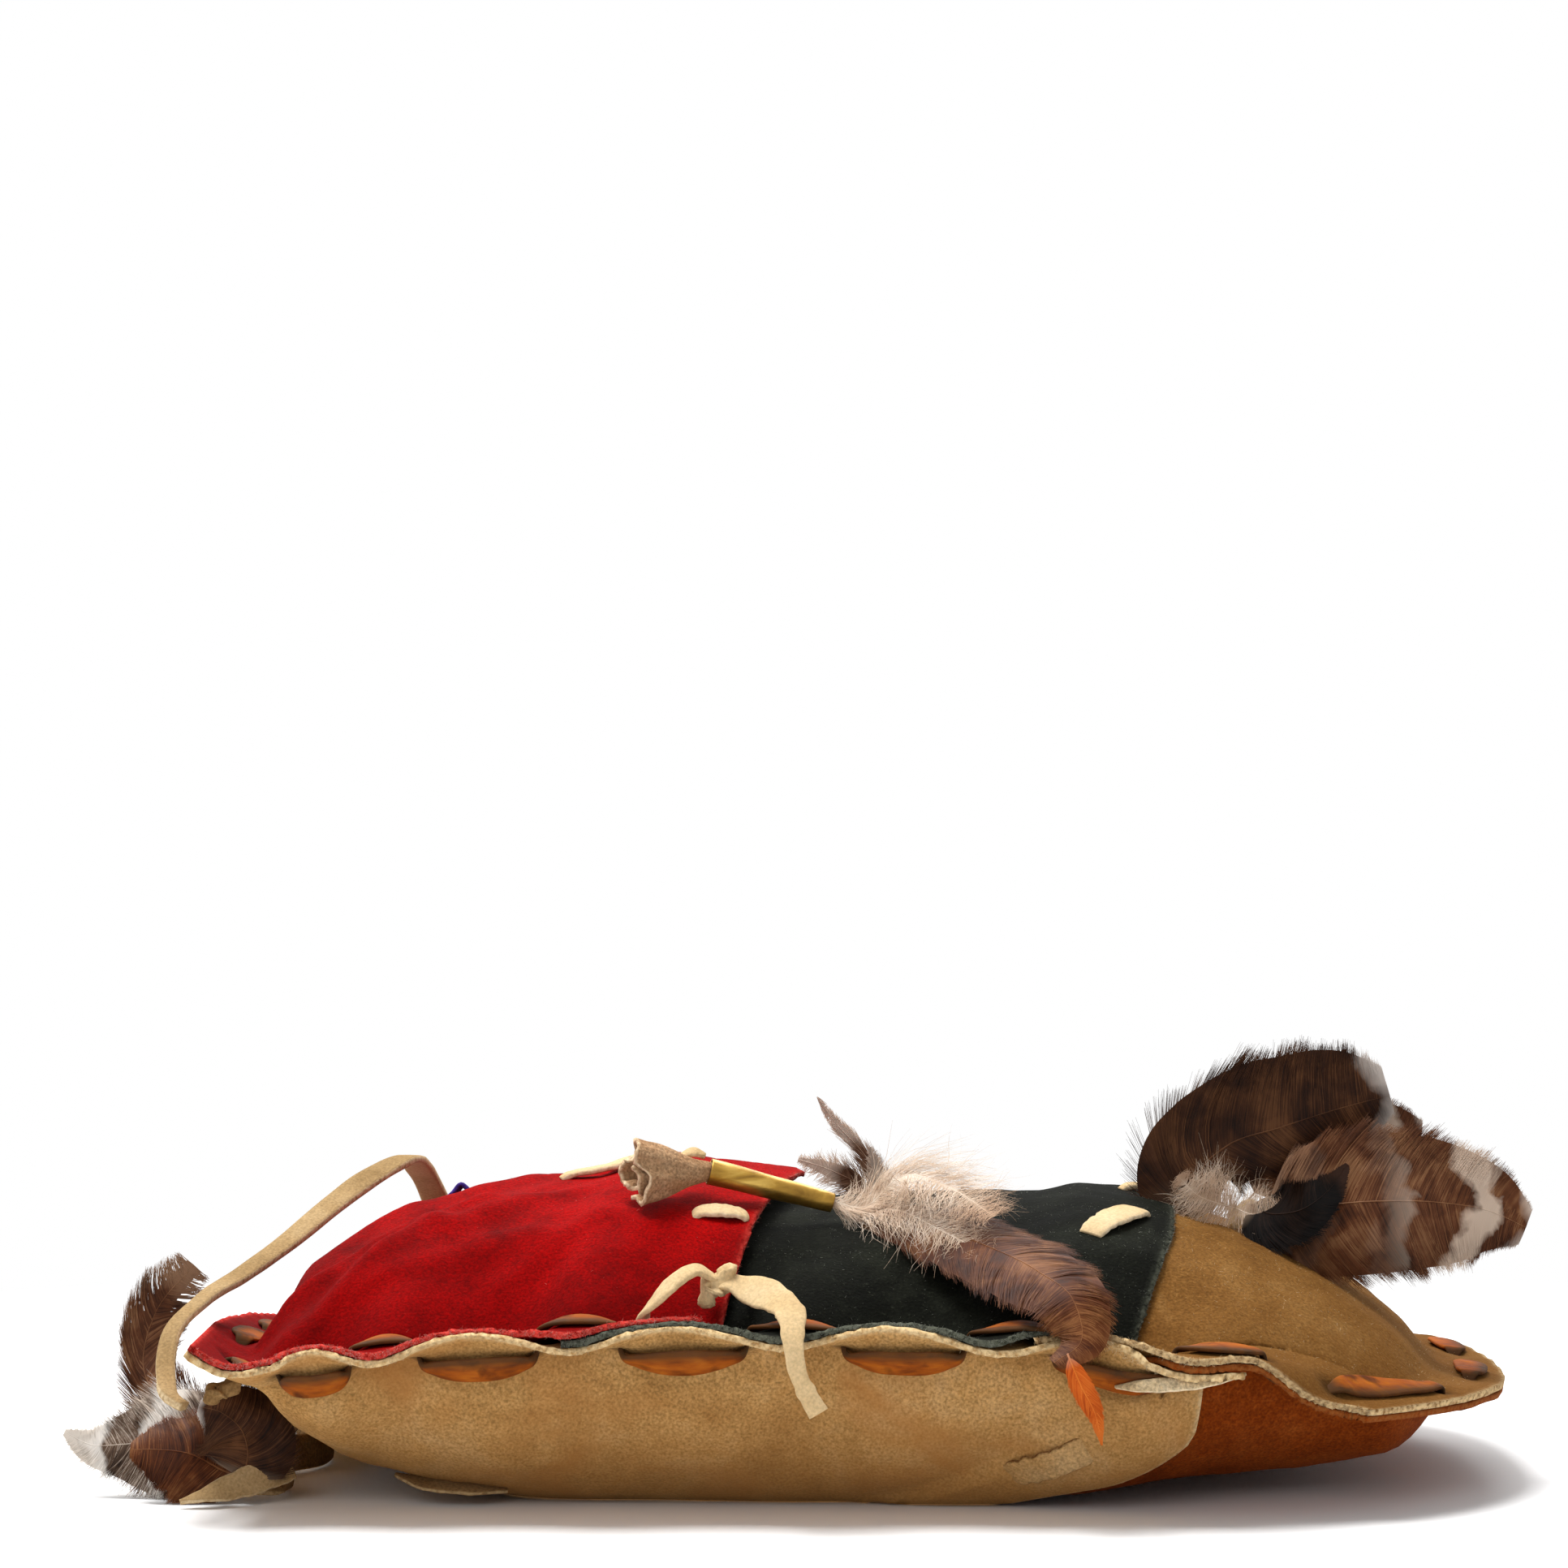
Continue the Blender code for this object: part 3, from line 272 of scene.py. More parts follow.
def piece(name, shape, finish, nodes, values=None):
    """An object from arrays of points and four-cornered faces, that stands for CAD nodes.

    Values are numbers for each point, such as edge, that the finish reads by their names.
    """
    points, faces = shape
    mesh = bpy.data.meshes.new(f"{name}_made")
    mesh.vertices.add(len(points))
    mesh.vertices.foreach_set("co", np.ascontiguousarray(points, np.float32).ravel())
    mesh.loops.add(faces.size)
    mesh.loops.foreach_set("vertex_index", np.ascontiguousarray(faces, np.int32).ravel())
    mesh.polygons.add(len(faces))
    mesh.polygons.foreach_set("loop_start", np.arange(0, faces.size, 4, dtype=np.int32))
    mesh.update(calc_edges=True)
    for label, value in (values or {}).items():
        mesh.attributes.new(label, "FLOAT", "POINT").data.foreach_set("value", np.float32(value).ravel())
    mesh.shade_smooth()
    mesh.materials.append(finish)
    made = bpy.data.objects.new(f"{name}_made", mesh)
    bpy.context.scene.collection.objects.link(made)
    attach(made, "root")
    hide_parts(*nodes)
    return made


def uneven(count, amount, seed, run):
    """A share near 1 for each place along a strip: noise, averaged over a run, times amount."""
    steps = np.random.default_rng(seed).normal(0, 1, count + 2 * run)
    kept = np.convolve(steps, np.hanning(run) / np.sqrt((np.hanning(run) ** 2).sum()), "same")
    return 1 + amount * np.clip(kept[run:run + count], -2, 2)


def edge_values(sides, steps, span):
    """The edge value of a strip of that many sides, as one of its steps after another.

    It rises smoothly from 0 to 1 over a span of the distance across, as shares of the half width.
    """
    across = np.abs(np.cos((np.arange(sides) + 0.5) / sides * 2 * np.pi))
    return {"edge": np.tile(smooth(*span, across), steps)}


pale_thong = suede("pale thong suede", (180, 146, 100), (216, 186, 140), (232, 206, 166),
                   (234, 214, 180), 0.4, mottle=0.2)
strap_suede = suede("strap suede", (132, 104, 66), (172, 142, 100), (198, 170, 128),
                    (208, 184, 146), 0.6, mottle=0.2)
# A darker copy of the strap suede, as painted shade, for the tail, the near knot and the flap that lie in the
# shade under the bag.
shaded_strap_suede = suede("shaded strap suede", (104, 76, 46), (140, 108, 70), (172, 140, 98),
                   (190, 162, 120), 0.8, mottle=0.3)
STRAP_ROUTE = [(-159.2, -97, 27), (-162, -96, 28.5), (-164.5, -89, 33), (-164.5, -80, 41.5), (-159, -66, 48),
               (-152, -45, 52), (-143, -25, 58), (-133, -5, 66), (-126, 6, 71), (-119, 18, 74.5),
               (-117, 34, 74), (-116, 52, 70), (-115, 72, 64), (-113, 92, 54), (-111, 108, 45),
               (-106, 122, 32), (-98, 132, 16), (-80, 137, 8), (-40, 138, 6.2), (20, 137, 6.2),
               (80, 138, 6.2), (108, 142, 6.2), (119, 153, 6.2), (108, 164, 6.2), (80, 168, 6.2),
               (20, 167, 6.2), (-60, 168, 6.2), (-110, 164, 7), (-138, 150, 9), (-156, 128, 12),
               (-161.5, 110, 13), (-159.2, 99, 13)]
STRAP_ACROSS = [(0, 1, 0.1), (0.3, 1, 0.1), (1, 0.3, 0.2), (1, -0.2, 0.1), (1, -0.4, -0.1),
                (1, -0.5, -0.2), (1, -0.8, -0.3), (1, -0.8, -0.3), (1, -0.5, -0.2), (1, -0.3, 0),
                (1, -0.2, 0), (1, 0, 0), (1, 0, 0), (1, 0, 0), (1, 0, 0), (1, 0.1, 0.2), (0.8, 0.2, 0.9),
                (0.2, 0, 1), (0, 0, 1), (0, 0, 1), (0, 0, 1), (0, 0, 1), (0, 0, 1), (0, 0, 1), (0, 0, 1),
                (0, 0, 1), (0, 0, 1), (0, 0, 1), (0.1, 0, 1), (0.4, 0.3, 1), (0.8, 0.1, 0.8),
                (1, 0.2, 0.2)]
TAIL_ROUTE = [(-150.5, 91, 11), (-150, 70, 8), (-147, 44, 5.4), (-139, 18, 5.2), (-135, 2, 5.2),
              (-138, -12, 5.2), (-147, -24, 5.2), (-146, -38, 5.2), (-140, -47, 5.6),
              (-141, -58, 5.8), (-150, -66, 3.6)]
TAIL_ACROSS = [(1, 0.1, 0.1), (1, 0.3, 0.6), (0.2, 0.1, 1), (0, 0, 1), (0, 0, 1), (0, 0, 1), (0, 0, 1),
               (0, 0, 1), (0, 0.1, 1), (0.3, 0.8, 1), (0.4, 1, 0.2)]


def strap(name, route, directions, width, thickness, finish, seed):
    """A flat strap on a route, drawn in at its start and up to 0.4 of its length, a little uneven.

    It gives its piece and centreline.
    """
    steps = 14 * len(route)
    path = rounded(np.array(route) * MM, steps)
    across = rounded(directions, steps, route)
    share = np.linspace(0, 1, steps)
    wider = 0.4 + 0.25 * smooth(0.04, 0.16, share) + 0.35 * smooth(0.28, 0.4, share)
    wide = width * uneven(steps, 0.02, seed, 15) * wider
    shape = strip(path, across, wide, thickness * uneven(steps, 0.05, seed + 1, 9), 14, 0.45)
    return piece(name, shape, finish, [name], edge_values(14, steps, (0.88, 0.97))), path


STRAP_WIDTH, TAIL_WIDTH, STRAP_THICKNESS = 11 * MM, 9 * MM, 2.2 * MM
shoulder_strap, strap_path = strap("shoulder_strap", STRAP_ROUTE, STRAP_ACROSS, STRAP_WIDTH,
                                   STRAP_THICKNESS, strap_suede, 3)
strap_tail, tail_path = strap("strap_tail", TAIL_ROUTE, TAIL_ACROSS, TAIL_WIDTH, STRAP_THICKNESS,
                              shaded_strap_suede, 5)


# PIECES OF SUEDE
# Five pieces of soft suede with raw cut edges make the two skins. The red piece laps the green,
# the green laps the tan, and under the belly the beige laps the rust. The lace gathers the rim.
LENGTH, WIDTH = 315 * MM, 212 * MM
HALF_LENGTH, HALF_WIDTH = LENGTH / 2, WIDTH / 2
SUEDE, GAP, LAYER = 1.5 * MM, 0.3 * MM, 2.0 * MM
BEIGE_END, RUST_START = 0.645, 0.5
RED_END, GREEN_START, GREEN_END, TAN_START = -0.105, -0.32, 0.48, 0.36
LAP_RAMP = 0.09
LACE_INSET = 8.5 * MM
NEAR_CORNER_CUT, FAR_CORNER_CUT, BOTTOM_NARROWING, COLUMN_BEND = 42 * MM, 33 * MM, 14 * MM, 70 * MM
SIDES = {"red": "red", "green": "low", "tan": "low", "beige": "back", "rust": "back"}
SLANT = [(-1, 0), (-0.45, 18), (-0.1, 20), (0.48, 3), (1, 0)]
RIM = [(-1, 41), (-0.95, 37), (-0.8, 38), (-0.55, 41.5), (-0.4, 42.5), (0.25, 43), (0.6, 38.5),
       (0.75, 36), (0.86, 28), (1, 24)]
RED_CREST = [(-1, 36), (-0.95, 37), (-0.905, 39.5), (-0.85, 47.5), (-0.72, 61), (-0.55, 69),
             (-0.4, 72), (-0.25, 72.5), (-0.11, 70), (0.1, 67)]
LOW_CREST = [(-0.5, 62), (-0.2, 64.5), (0.22, 66.5), (0.45, 64.5), (0.63, 56), (0.79, 43), (0.91, 28),
             (1, 24)]
BELLY = [(-1, 36), (-0.95, 35), (-0.88, 20), (-0.78, 9), (-0.66, 3.5), (-0.5, -1), (-0.2, -2), (0.3, -2),
         (0.5, -1), (0.66, 3), (0.8, 8), (0.93, 17), (1, 24)]
RIM_BEHIND = [(0, 2.5), (5, -1.4), (10, -5.2), (15, -8.4), (27, -5.5), (44, 0)]
BELLY_BEHIND = [(0, 2.5), (5, -1.4), (10, -5.2), (15, -7.4), (22, -4), (32, 0), (44, 0)]
RIM_IN_FRONT = [(0, -1.5), (9, -0.3), (15, 0), (44, 0)]
LEFT_DROOP, GATHER_DRAW = 17 * MM, 5 * MM
# The last of these is how far the painted shade round each slit reaches.
PINCH_DEPTH, PINCH_REACH, SLIT_SHADE_REACH = 0.9 * MM, 3.2 * MM, 2.6 * MM
RAGGED_SIDE, RAGGED_END, END_DROP = 0.28 * MM, 0.25 * MM, 0.35 * MM
CREASES = [((-140, -84), (-86, -42), 2.0, 7), ((-146, -50), (-84, -10), 1.8, 7),
           ((-140, -14), (-78, 18), 1.6, 8), ((-64, -14), (-50, 16), 2.2, 9)]
FINE_CREASES = [((-146, -92), (-104, -52), 2.2, 3.4), ((-150, -72), (-92, -40), 2.0, 3.2),
                ((-128, -76), (-80, -62), 1.3, 4), ((-92, -80), (-66, -58), 1.2, 4),
                ((-150, -44), (-112, -24), 1.3, 3.5), ((-104, -58), (-70, -36), 0.9, 3.5),
                ((-60, -78), (-44, -48), 0.7, 4)]
SLOTS = np.array([-0.8389, -0.7039, -0.5765, -0.3742, -0.2421, -0.0486, 0.0821, 0.2455, 0.3637, 0.546,
                  0.7133, 0.837])
STITCHES = (SLOTS[1:] + SLOTS[:-1]) / 2
BOTTOM_SLOTS = np.array([-64, -40, -16, 8, 32, 56]) * MM
STRAP_END_SLOTS = np.array([-86, -64, -38, -14, 12, 36, 60, 86]) * MM


def flange(u):
    """Width of the flat margin that the lace runs through, wider at the rounded corners."""
    return 15 * MM + 9 * MM * smooth(0.45, 0.75, u)


def plan(u, v, back):
    """X and Y of shares u along and v across, each from -1 to 1.

    X is the share of the half length, less a corner cut that grows as the cube of v,
    plus a slant across the bag. The back's columns bend towards the strap end.
    """
    cut = np.where(v < 0, NEAR_CORNER_CUT, FAR_CORNER_CUT) * np.abs(v) ** 3
    x = HALF_LENGTH * u - cut * ((u + 1) / 2) ** 3 + through(SLANT, u) * MM * v
    flat = 1 - (flange(u) + 5 * MM) / HALF_WIDTH
    bend = np.sin(np.pi / 2 * np.minimum(1, 1.35 * np.clip((flat - np.abs(v)) / flat, 0, 1)))
    x = x - back * COLUMN_BEND * bend * smooth(-0.4, BEIGE_END, u) * (1 - smooth(BEIGE_END, 0.88, u))
    return x, v * (HALF_WIDTH - BOTTOM_NARROWING * smooth(0.55, 1, u))


def wave(u):
    """1 at the middle of a stitch behind the rim and -1 at one in front, as a rounded wave."""
    at = np.sort(np.concatenate([SLOTS, STITCHES]))
    value = np.zeros(len(at))
    value[1::4], value[3::4] = 1, -1
    return np.sin(np.pi / 2 * np.interp(u, at, value))


def ridges(x, y, lines):
    """Soft ridges along (start, end, height, half width) lines, each a bell across its line."""
    z = 0 * x
    for start, end, height, width in lines:
        a, b = np.array(start) * MM, np.array(end) * MM
        along = ((x - a[0]) * (b - a)[0] + (y - a[1]) * (b - a)[1]) / np.dot(b - a, b - a)
        t = np.clip(along, 0, 1)
        off = np.hypot(x - a[0] - t * (b - a)[0], y - a[1] - t * (b - a)[1])
        z = z + height * MM * np.exp(-((off / (width * MM)) ** 2)) * smooth(0, 0.2, along)
    return z


def lift_of(label, u):
    """How far a piece's inner face lies out from the seam surface, where it laps another."""
    start = {"red": GREEN_START, "green": TAN_START, "beige": RUST_START}.get(label)
    return GAP / 2 + LAYER * (0 * u if start is None else smooth(start - LAP_RAMP, start - 0.01, u))


def join_shift(v):
    """How far the beige and rust join moves towards the strap end, inside the near and far flange."""
    places, shifts = [0, 0.55, 0.62, 0.7, 0.78, 0.95, 1], [0.3, 0.3, 0.27, 0.2, 0.11, 0, -0.08]
    return np.interp(np.abs(v), places, shifts)


def droop(u, v):
    """How far the rim sinks: most at the far strap corner.

    It is the droop times the way to the far side, to the power 1.3, times the way to
    the strap end, squared.
    """
    return LEFT_DROOP * np.clip((v + 0.6) / 1.6, 0, 1) ** 1.3 * ((1 - u) / 2) ** 2


def skin(u, v, side):
    """Points of one skin's seam surface: side is red, low (green and tan) or back.

    The rim's height, drooping towards the far strap corner, plus the gathers near both
    long sides, plus the swell of the crest or belly over the run from the flange inwards.
    The belly is held above the floor by the thickness of what lies under the surface.
    """
    back = side == "back"
    x, y = plan(u, v, back)
    rim = through(RIM, u) * MM
    z = rim - droop(u, v)
    near, far = (1 + v) * HALF_WIDTH, (1 - v) * HALF_WIDTH
    left, right = (1 + u) * HALF_LENGTH, (1 - u) * HALF_LENGTH
    at_ends = smooth(0, 22 * MM, left) * smooth(20 * MM, 84 * MM, right)
    behind = (1 + wave(u)) / 2
    for inset, inward in ((near, 1), (far, -1)):
        gathers = BELLY_BEHIND if back else RIM_BEHIND
        height = behind * through(gathers, inset / MM) + (1 - behind) * through(RIM_IN_FRONT, inset / MM)
        z = z + height * MM * at_ends
        y = y + inward * GATHER_DRAW * behind * np.clip(1 - inset / LACE_INSET, 0, 1) * at_ends
    middle = rim - droop(u, 0.0)
    inset = (1 - np.abs(v)) * HALF_WIDTH
    run = 1 - np.clip((inset - flange(u)) / (HALF_WIDTH - flange(u)), 0, 1)
    swell = smooth(12 * MM, 26 * MM, left) * smooth(12 * MM, 26 * MM, right)
    if back:
        z = z + (through(BELLY, u) * MM - middle) * swell * (1 - run**7.0) ** 0.75
        return np.stack([x, y, np.maximum(z, lift_of("beige", u + join_shift(v)) + SUEDE)], -1)
    crest = RED_CREST if side == "red" else LOW_CREST
    z = z + (through(crest, u) * MM - middle) * swell * (1 - run**2.2) ** 0.8
    if side == "red":
        z = z + ridges(x, y, CREASES)
    return np.stack([x, y, z], -1)


def outward(u, v, side):
    """Unit normals of a skin, pointing out of the pouch."""
    step = 2e-4
    du = skin(np.minimum(u + step, 1), v, side) - skin(np.maximum(u - step, -1), v, side)
    dv = skin(u, np.minimum(v + step, 1), side) - skin(u, np.maximum(v - step, -1), side)
    return unit(np.cross(du, dv)) * (-1 if side == "back" else 1)


def slab(inner, outer):
    """A closed shell between two grids of points, with faces joining their four borders."""
    rows, columns = inner.shape[:2]
    size = rows * columns
    faces = grid_faces(rows, columns)
    i, j = np.arange(rows), np.arange(columns)
    ring = np.concatenate([j, i[1:] * columns + columns - 1, (rows - 1) * columns + j[-2::-1],
                           i[-2:0:-1] * columns])
    after = np.roll(ring, -1)
    border = np.stack([ring, after, after + size, ring + size], 1)
    points = np.concatenate([inner.reshape(-1, 3), outer.reshape(-1, 3)])
    return points, np.concatenate([faces[:, ::-1], faces + size, border])


def slot_places():
    """Plan places of all the lace's slits: near side, bottom, far side and strap end."""
    inset_v, inset_u = LACE_INSET / HALF_WIDTH, LACE_INSET / HALF_LENGTH
    bottom, strap_end = BOTTOM_SLOTS / (HALF_WIDTH - BOTTOM_NARROWING), STRAP_END_SLOTS / HALF_WIDTH
    u = np.concatenate([SLOTS, 0 * bottom + 1 - inset_u, SLOTS, 0 * strap_end + inset_u - 1])
    v = np.concatenate([0 * SLOTS + inset_v - 1, bottom, 0 * SLOTS + 1 - inset_v, strap_end])
    return u, v


def start_of(label, start, v):
    """The share u that a piece starts at, which for the rust piece follows the join."""
    return start - join_shift(v) if label == "rust" else start


def end_of(label, end, v):
    """The share u that a piece ends at. The red end draws back behind the crest, the green near the rim."""
    if label == "beige":
        return end - join_shift(v)
    if label == "green":
        return end - 0.03 * smooth(0.4, 1, -v)
    if label == "red":
        return end - 0.1 * smooth(0.02, 0.5, v)
    return end


def panel(name, start, end, finish, columns, rumple, seed):
    """One piece of suede as a closed shell between its two faces, moved out along the skin's normals.

    Rows lie close together over the gathered margin and wider apart in the middle. The
    outer face is pinched at the lace's slits, both are rumpled by slow sine waves of
    rumple millimetres, and raw edges wander by a fraction of a millimetre.
    """
    label = name.split("_")[-1]
    side = SIDES[label]
    inset = np.concatenate([np.linspace(0, 34, 40), np.linspace(36, 106, 36)]) * MM / HALF_WIDTH
    v = np.concatenate([inset - 1, (1 - inset)[-2::-1]])
    u, v = np.meshgrid(np.linspace(0, 1, columns), v)
    first, final = start_of(label, start, v), end_of(label, end, v)
    u = first + (final - first) * u
    points, normal = skin(u, v, side), outward(u, v, side)
    lift = lift_of(label, u + join_shift(v) if side == "back" else u)[..., None]
    x, y = points[..., 0], points[..., 1]
    slow = np.sin(x * 190 + 2.1 * np.sin(y * 130 + seed)) * np.sin(y * 160 + 1.7 * np.sin(x * 150 + 2 * seed))
    quick = np.sin(x * 520 + 3 * np.sin(y * 310 + seed)) * np.sin(y * 470 + 3 * np.sin(x * 290 + seed))
    clear = smooth(16 * MM, 34 * MM, (1 - np.abs(v)) * HALF_WIDTH)
    if side == "back":
        clear = clear * smooth(3 * MM, 9 * MM, points[..., 2])
    height = (rumple * slow + 0.25 * rumple * quick) * MM * clear
    if side == "red":
        height = height + ridges(x, y, FINE_CREASES) * clear
    slit_u, slit_v = slot_places()
    slit = plan(slit_u, slit_v, 0)
    off = np.hypot(x[..., None] - slit[0], y[..., None] - slit[1]).min(-1)
    pinch = PINCH_DEPTH * np.exp(-((off / PINCH_REACH) ** 2))
    random = np.random.default_rng(seed)
    inner = points + normal * (lift + height[..., None])
    outer = points + normal * (lift + SUEDE + (height - pinch)[..., None])
    ragged = random.normal(0, RAGGED_SIDE, (2, 2, u.shape[1]))
    for row, way in ((0, -1), (-1, 1)):
        for face, shift in zip((inner, outer), ragged[row]):
            face[row, :, 1] += way * shift
            face[row, :, 2] += 0.5 * np.roll(shift, 3)
    if side != "back" and end < 1:
        outer[:, -1, 0] += random.normal(0, RAGGED_END, len(u))
        outer[:, -1, 2] -= END_DROP
    edge = np.zeros(u.shape)
    edge[[0, -1]] = 1
    edge[[1, -2]] = 0.2
    edge[:, [0, -1]] = 1
    edge[:, [1, -2]] = 0.12
    # Painted shade round each slit, which the finish reads to darken the suede there.
    slit_shade = np.exp(-((off / SLIT_SHADE_REACH) ** 2))
    order = slice(None) if side != "back" else slice(None, None, -1)
    shape = slab(inner[order], outer[order])
    values = {"edge": np.concatenate([edge[order]] * 2), "slit_shade": np.concatenate([slit_shade[order]] * 2)}
    return piece(name, shape, finish, [name], values)


# The red, tan and beige suede darken towards the bottom as painted shade.
red_suede = suede("red suede", (84, 1, 2), (160, 3, 4), (186, 12, 10), (198, 62, 54), 1.1, sheen=0.0,
                  mottle=0.4, low_shade=(0.048, 0.08, 0.55))
green_suede = suede("green suede", (12, 13, 10), (25, 26, 21), (46, 48, 40), (92, 94, 82), 1.5, 0.9,
                    sheen=0.0, mottle=0.3)
tan_suede = suede("tan suede", (103, 67, 31), (138, 97, 51), (169, 129, 78), (208, 178, 132), 1.1, 0.3,
                  low_shade=(0.04, 0.076, 0.6))
beige_suede = suede("beige suede", (158, 112, 62), (196, 150, 92), (214, 174, 120), (222, 194, 146), 0.95,
                    marks=(158, 108, 60), mottle=0.3, low_shade=(0.012, 0.04, 0.5))
rust_suede = suede("rust suede", (92, 38, 10), (136, 62, 20), (166, 86, 36), (132, 78, 40), 1.0)
panel("front_panel_red", -1, RED_END, red_suede, 120, 0.35, 1)
panel("front_panel_green", GREEN_START, GREEN_END, green_suede, 110, 0.25, 2)
panel("front_panel_tan", TAN_START, 1, tan_suede, 96, 0.35, 3)
panel("back_panel_beige", -1, BEIGE_END, beige_suede, 190, 0.3, 4)
panel("back_panel_rust", RUST_START, 1, rust_suede, 90, 0.3, 5)


# FUZZ
# Torn fibres of the suede itself stand out of every cut edge, and short pale ones lie loose on
# its nap. They are too fine for the solids, so they stand for none.
def fibres(label, where, roots, ways, length, width, finish, seed):
    """Fibres of two cells each: out from a root along its way, bent aside by a random share.

    Label is the colour of the piece they belong to, and where says which part of it.
    """
    random = np.random.default_rng(seed)
    count = len(roots)
    long = length * MM * random.uniform(0.35, 1, (count, 1, 1))
    bend = unit(random.normal(0, 1, (count, 3)))[:, None]
    t = np.linspace(0, 1, 3)[None, :, None]
    line = roots[:, None] + long * (ways[:, None] * t + bend * 0.5 * t**2)
    wide = unit(np.cross(ways, bend[:, 0]))[:, None] * width * MM / 2 * (1 - 0.7 * t)
    points = np.stack([line - wide, line + wide], 2)
    faces = grid_faces(3, 2)[None] + (np.arange(count) * 6)[:, None, None]
    piece(f"fuzz_{label}_{where}", (points.reshape(-1, 3), faces.reshape(-1, 4)), finish, [],
          {"edge": np.zeros(points.size // 3)})


def rim_fuzz(label, start, end, count, finish, seed):
    """Fibres along the near raw edge of one piece, pointing out of it."""
    side = SIDES[label]
    random = np.random.default_rng(seed)
    u, v = random.uniform(start, end, count), np.full(count, -1.0)
    normal = outward(u, v, side)
    depth = (lift_of(label, u) + random.uniform(0, 1, count) * SUEDE)[:, None]
    ways = unit(random.normal(0, 0.5, (count, 3)) + np.array([0, -1, 0]) + normal * 0.2)
    fibres(label, "rim", skin(u, v, side) + normal * depth, ways, 0.9, 0.09, finish, seed + 1)


def end_fuzz(label, end, count, finish, seed):
    """Fibres along the raw end of one lapping piece, pointing towards the bottom of the bag."""
    side = SIDES[label]
    random = np.random.default_rng(seed)
    v = random.uniform(-1, 1, count)
    u = end_of(label, end, v)
    normal = outward(u, v, side)
    depth = (lift_of(label, u) + random.uniform(0.2, 1, count) * SUEDE)[:, None]
    ways = unit(random.normal(0, 0.4, (count, 3)) + np.array([1, 0, 0]) + normal * 0.3)
    fibres(label, "end", skin(u, v, side) + normal * depth, ways, 0.8, 0.09, finish, seed + 1)


def nap_fuzz(label, start, end, count, length, finish, seed):
    """Loose fibres lying on the near half of a piece of the front."""
    side = SIDES[label]
    random = np.random.default_rng(seed)
    u, v = random.uniform(start, end, count), random.uniform(-0.9, 0.1, count)
    normal = outward(u, v, side)
    ways = unit(random.normal(0, 1, (count, 3)) * (1 - 0.75 * np.abs(normal)) + 0.3 * normal)
    roots = skin(u, v, side) + normal * (lift_of(label, u) + SUEDE)[:, None]
    fibres(label, "nap", roots, ways, length, 0.08, finish, seed + 1)


pink_fibre = suede("pink fibre", (196, 90, 80), (216, 132, 120), (236, 190, 180), (236, 190, 180))
grey_fibre = suede("grey fibre", (104, 106, 96), (140, 142, 130), (182, 184, 172), (182, 184, 172))
tan_fibre = suede("tan fibre", (186, 154, 108), (212, 186, 144), (230, 210, 176), (230, 210, 176))
rim_fuzz("red", -1, RED_END, 2600, pink_fibre, 101)
rim_fuzz("green", GREEN_START, GREEN_END, 1800, grey_fibre, 103)
rim_fuzz("tan", TAN_START, 1, 2600, tan_fibre, 105)
rim_fuzz("beige", -1, BEIGE_END, 4200, tan_fibre, 107)
end_fuzz("red", RED_END, 700, pink_fibre, 109)
end_fuzz("green", GREEN_END, 900, grey_fibre, 111)
nap_fuzz("green", RED_END, GREEN_END, 2600, 0.6, grey_fibre, 113)
nap_fuzz("red", -0.9, RED_END, 260, 0.8, pink_fibre, 115)
nap_fuzz("tan", GREEN_END, 0.95, 1400, 0.7, tan_fibre, 117)


# RIM LACE
# One strip of orange-brown leather laces the two skins together. It goes through a slit at each
# place and lies rounded over the suede between slits, by turns behind the rim and in front.
SLIT_RISE = 1.6 * MM


def stack(u, side):
    """Outer face of all the layers over the seam surface, for what lies on them."""
    laps = [(RUST_START, BEIGE_END)] if side == "back" else [(GREEN_START, RED_END), (TAN_START, GREEN_END)]
    rises = [smooth(a - LAP_RAMP, a - 0.01, u) * (1 - smooth(b + 0.01, b + LAP_RAMP, u)) for a, b in laps]
    return GAP / 2 + SUEDE + LAYER * np.max(rises, 0)


def frame_at(uv, side, towards):
    """Seam point, normal out of the front there, and the way across a run towards another place."""
    u, v = np.array(uv[0]), np.array(uv[1])
    normal = outward(u, v, side) * (-1 if side == "back" else 1)
    step = np.subtract(towards, uv)
    step = step * 0.01 / np.linalg.norm(step)
    ahead = skin(u + step[0], v + step[1], side) - skin(u - step[0], v - step[1], side)
    return skin(u, v, side), normal, unit(np.cross(normal, ahead))


def stitch(start, end, front, shares, bows, clear, bow_height, thickness):
    """Points of one stitch between two slits: shares along it, each bowed off the suede."""
    points = []
    for share, bow in zip(shares, bows):
        at = np.array(start) + np.subtract(end, start) * share
        side = ("red" if at[0] < RED_END else "low") if front else "back"
        point, normal, across = frame_at(at, side, at + np.subtract(end, start))
        off = float(stack(at[0], side)) + clear + thickness / 2 + bow_height * bow
        points.append((point + normal * (off if front else -off), across, bow))
    return points


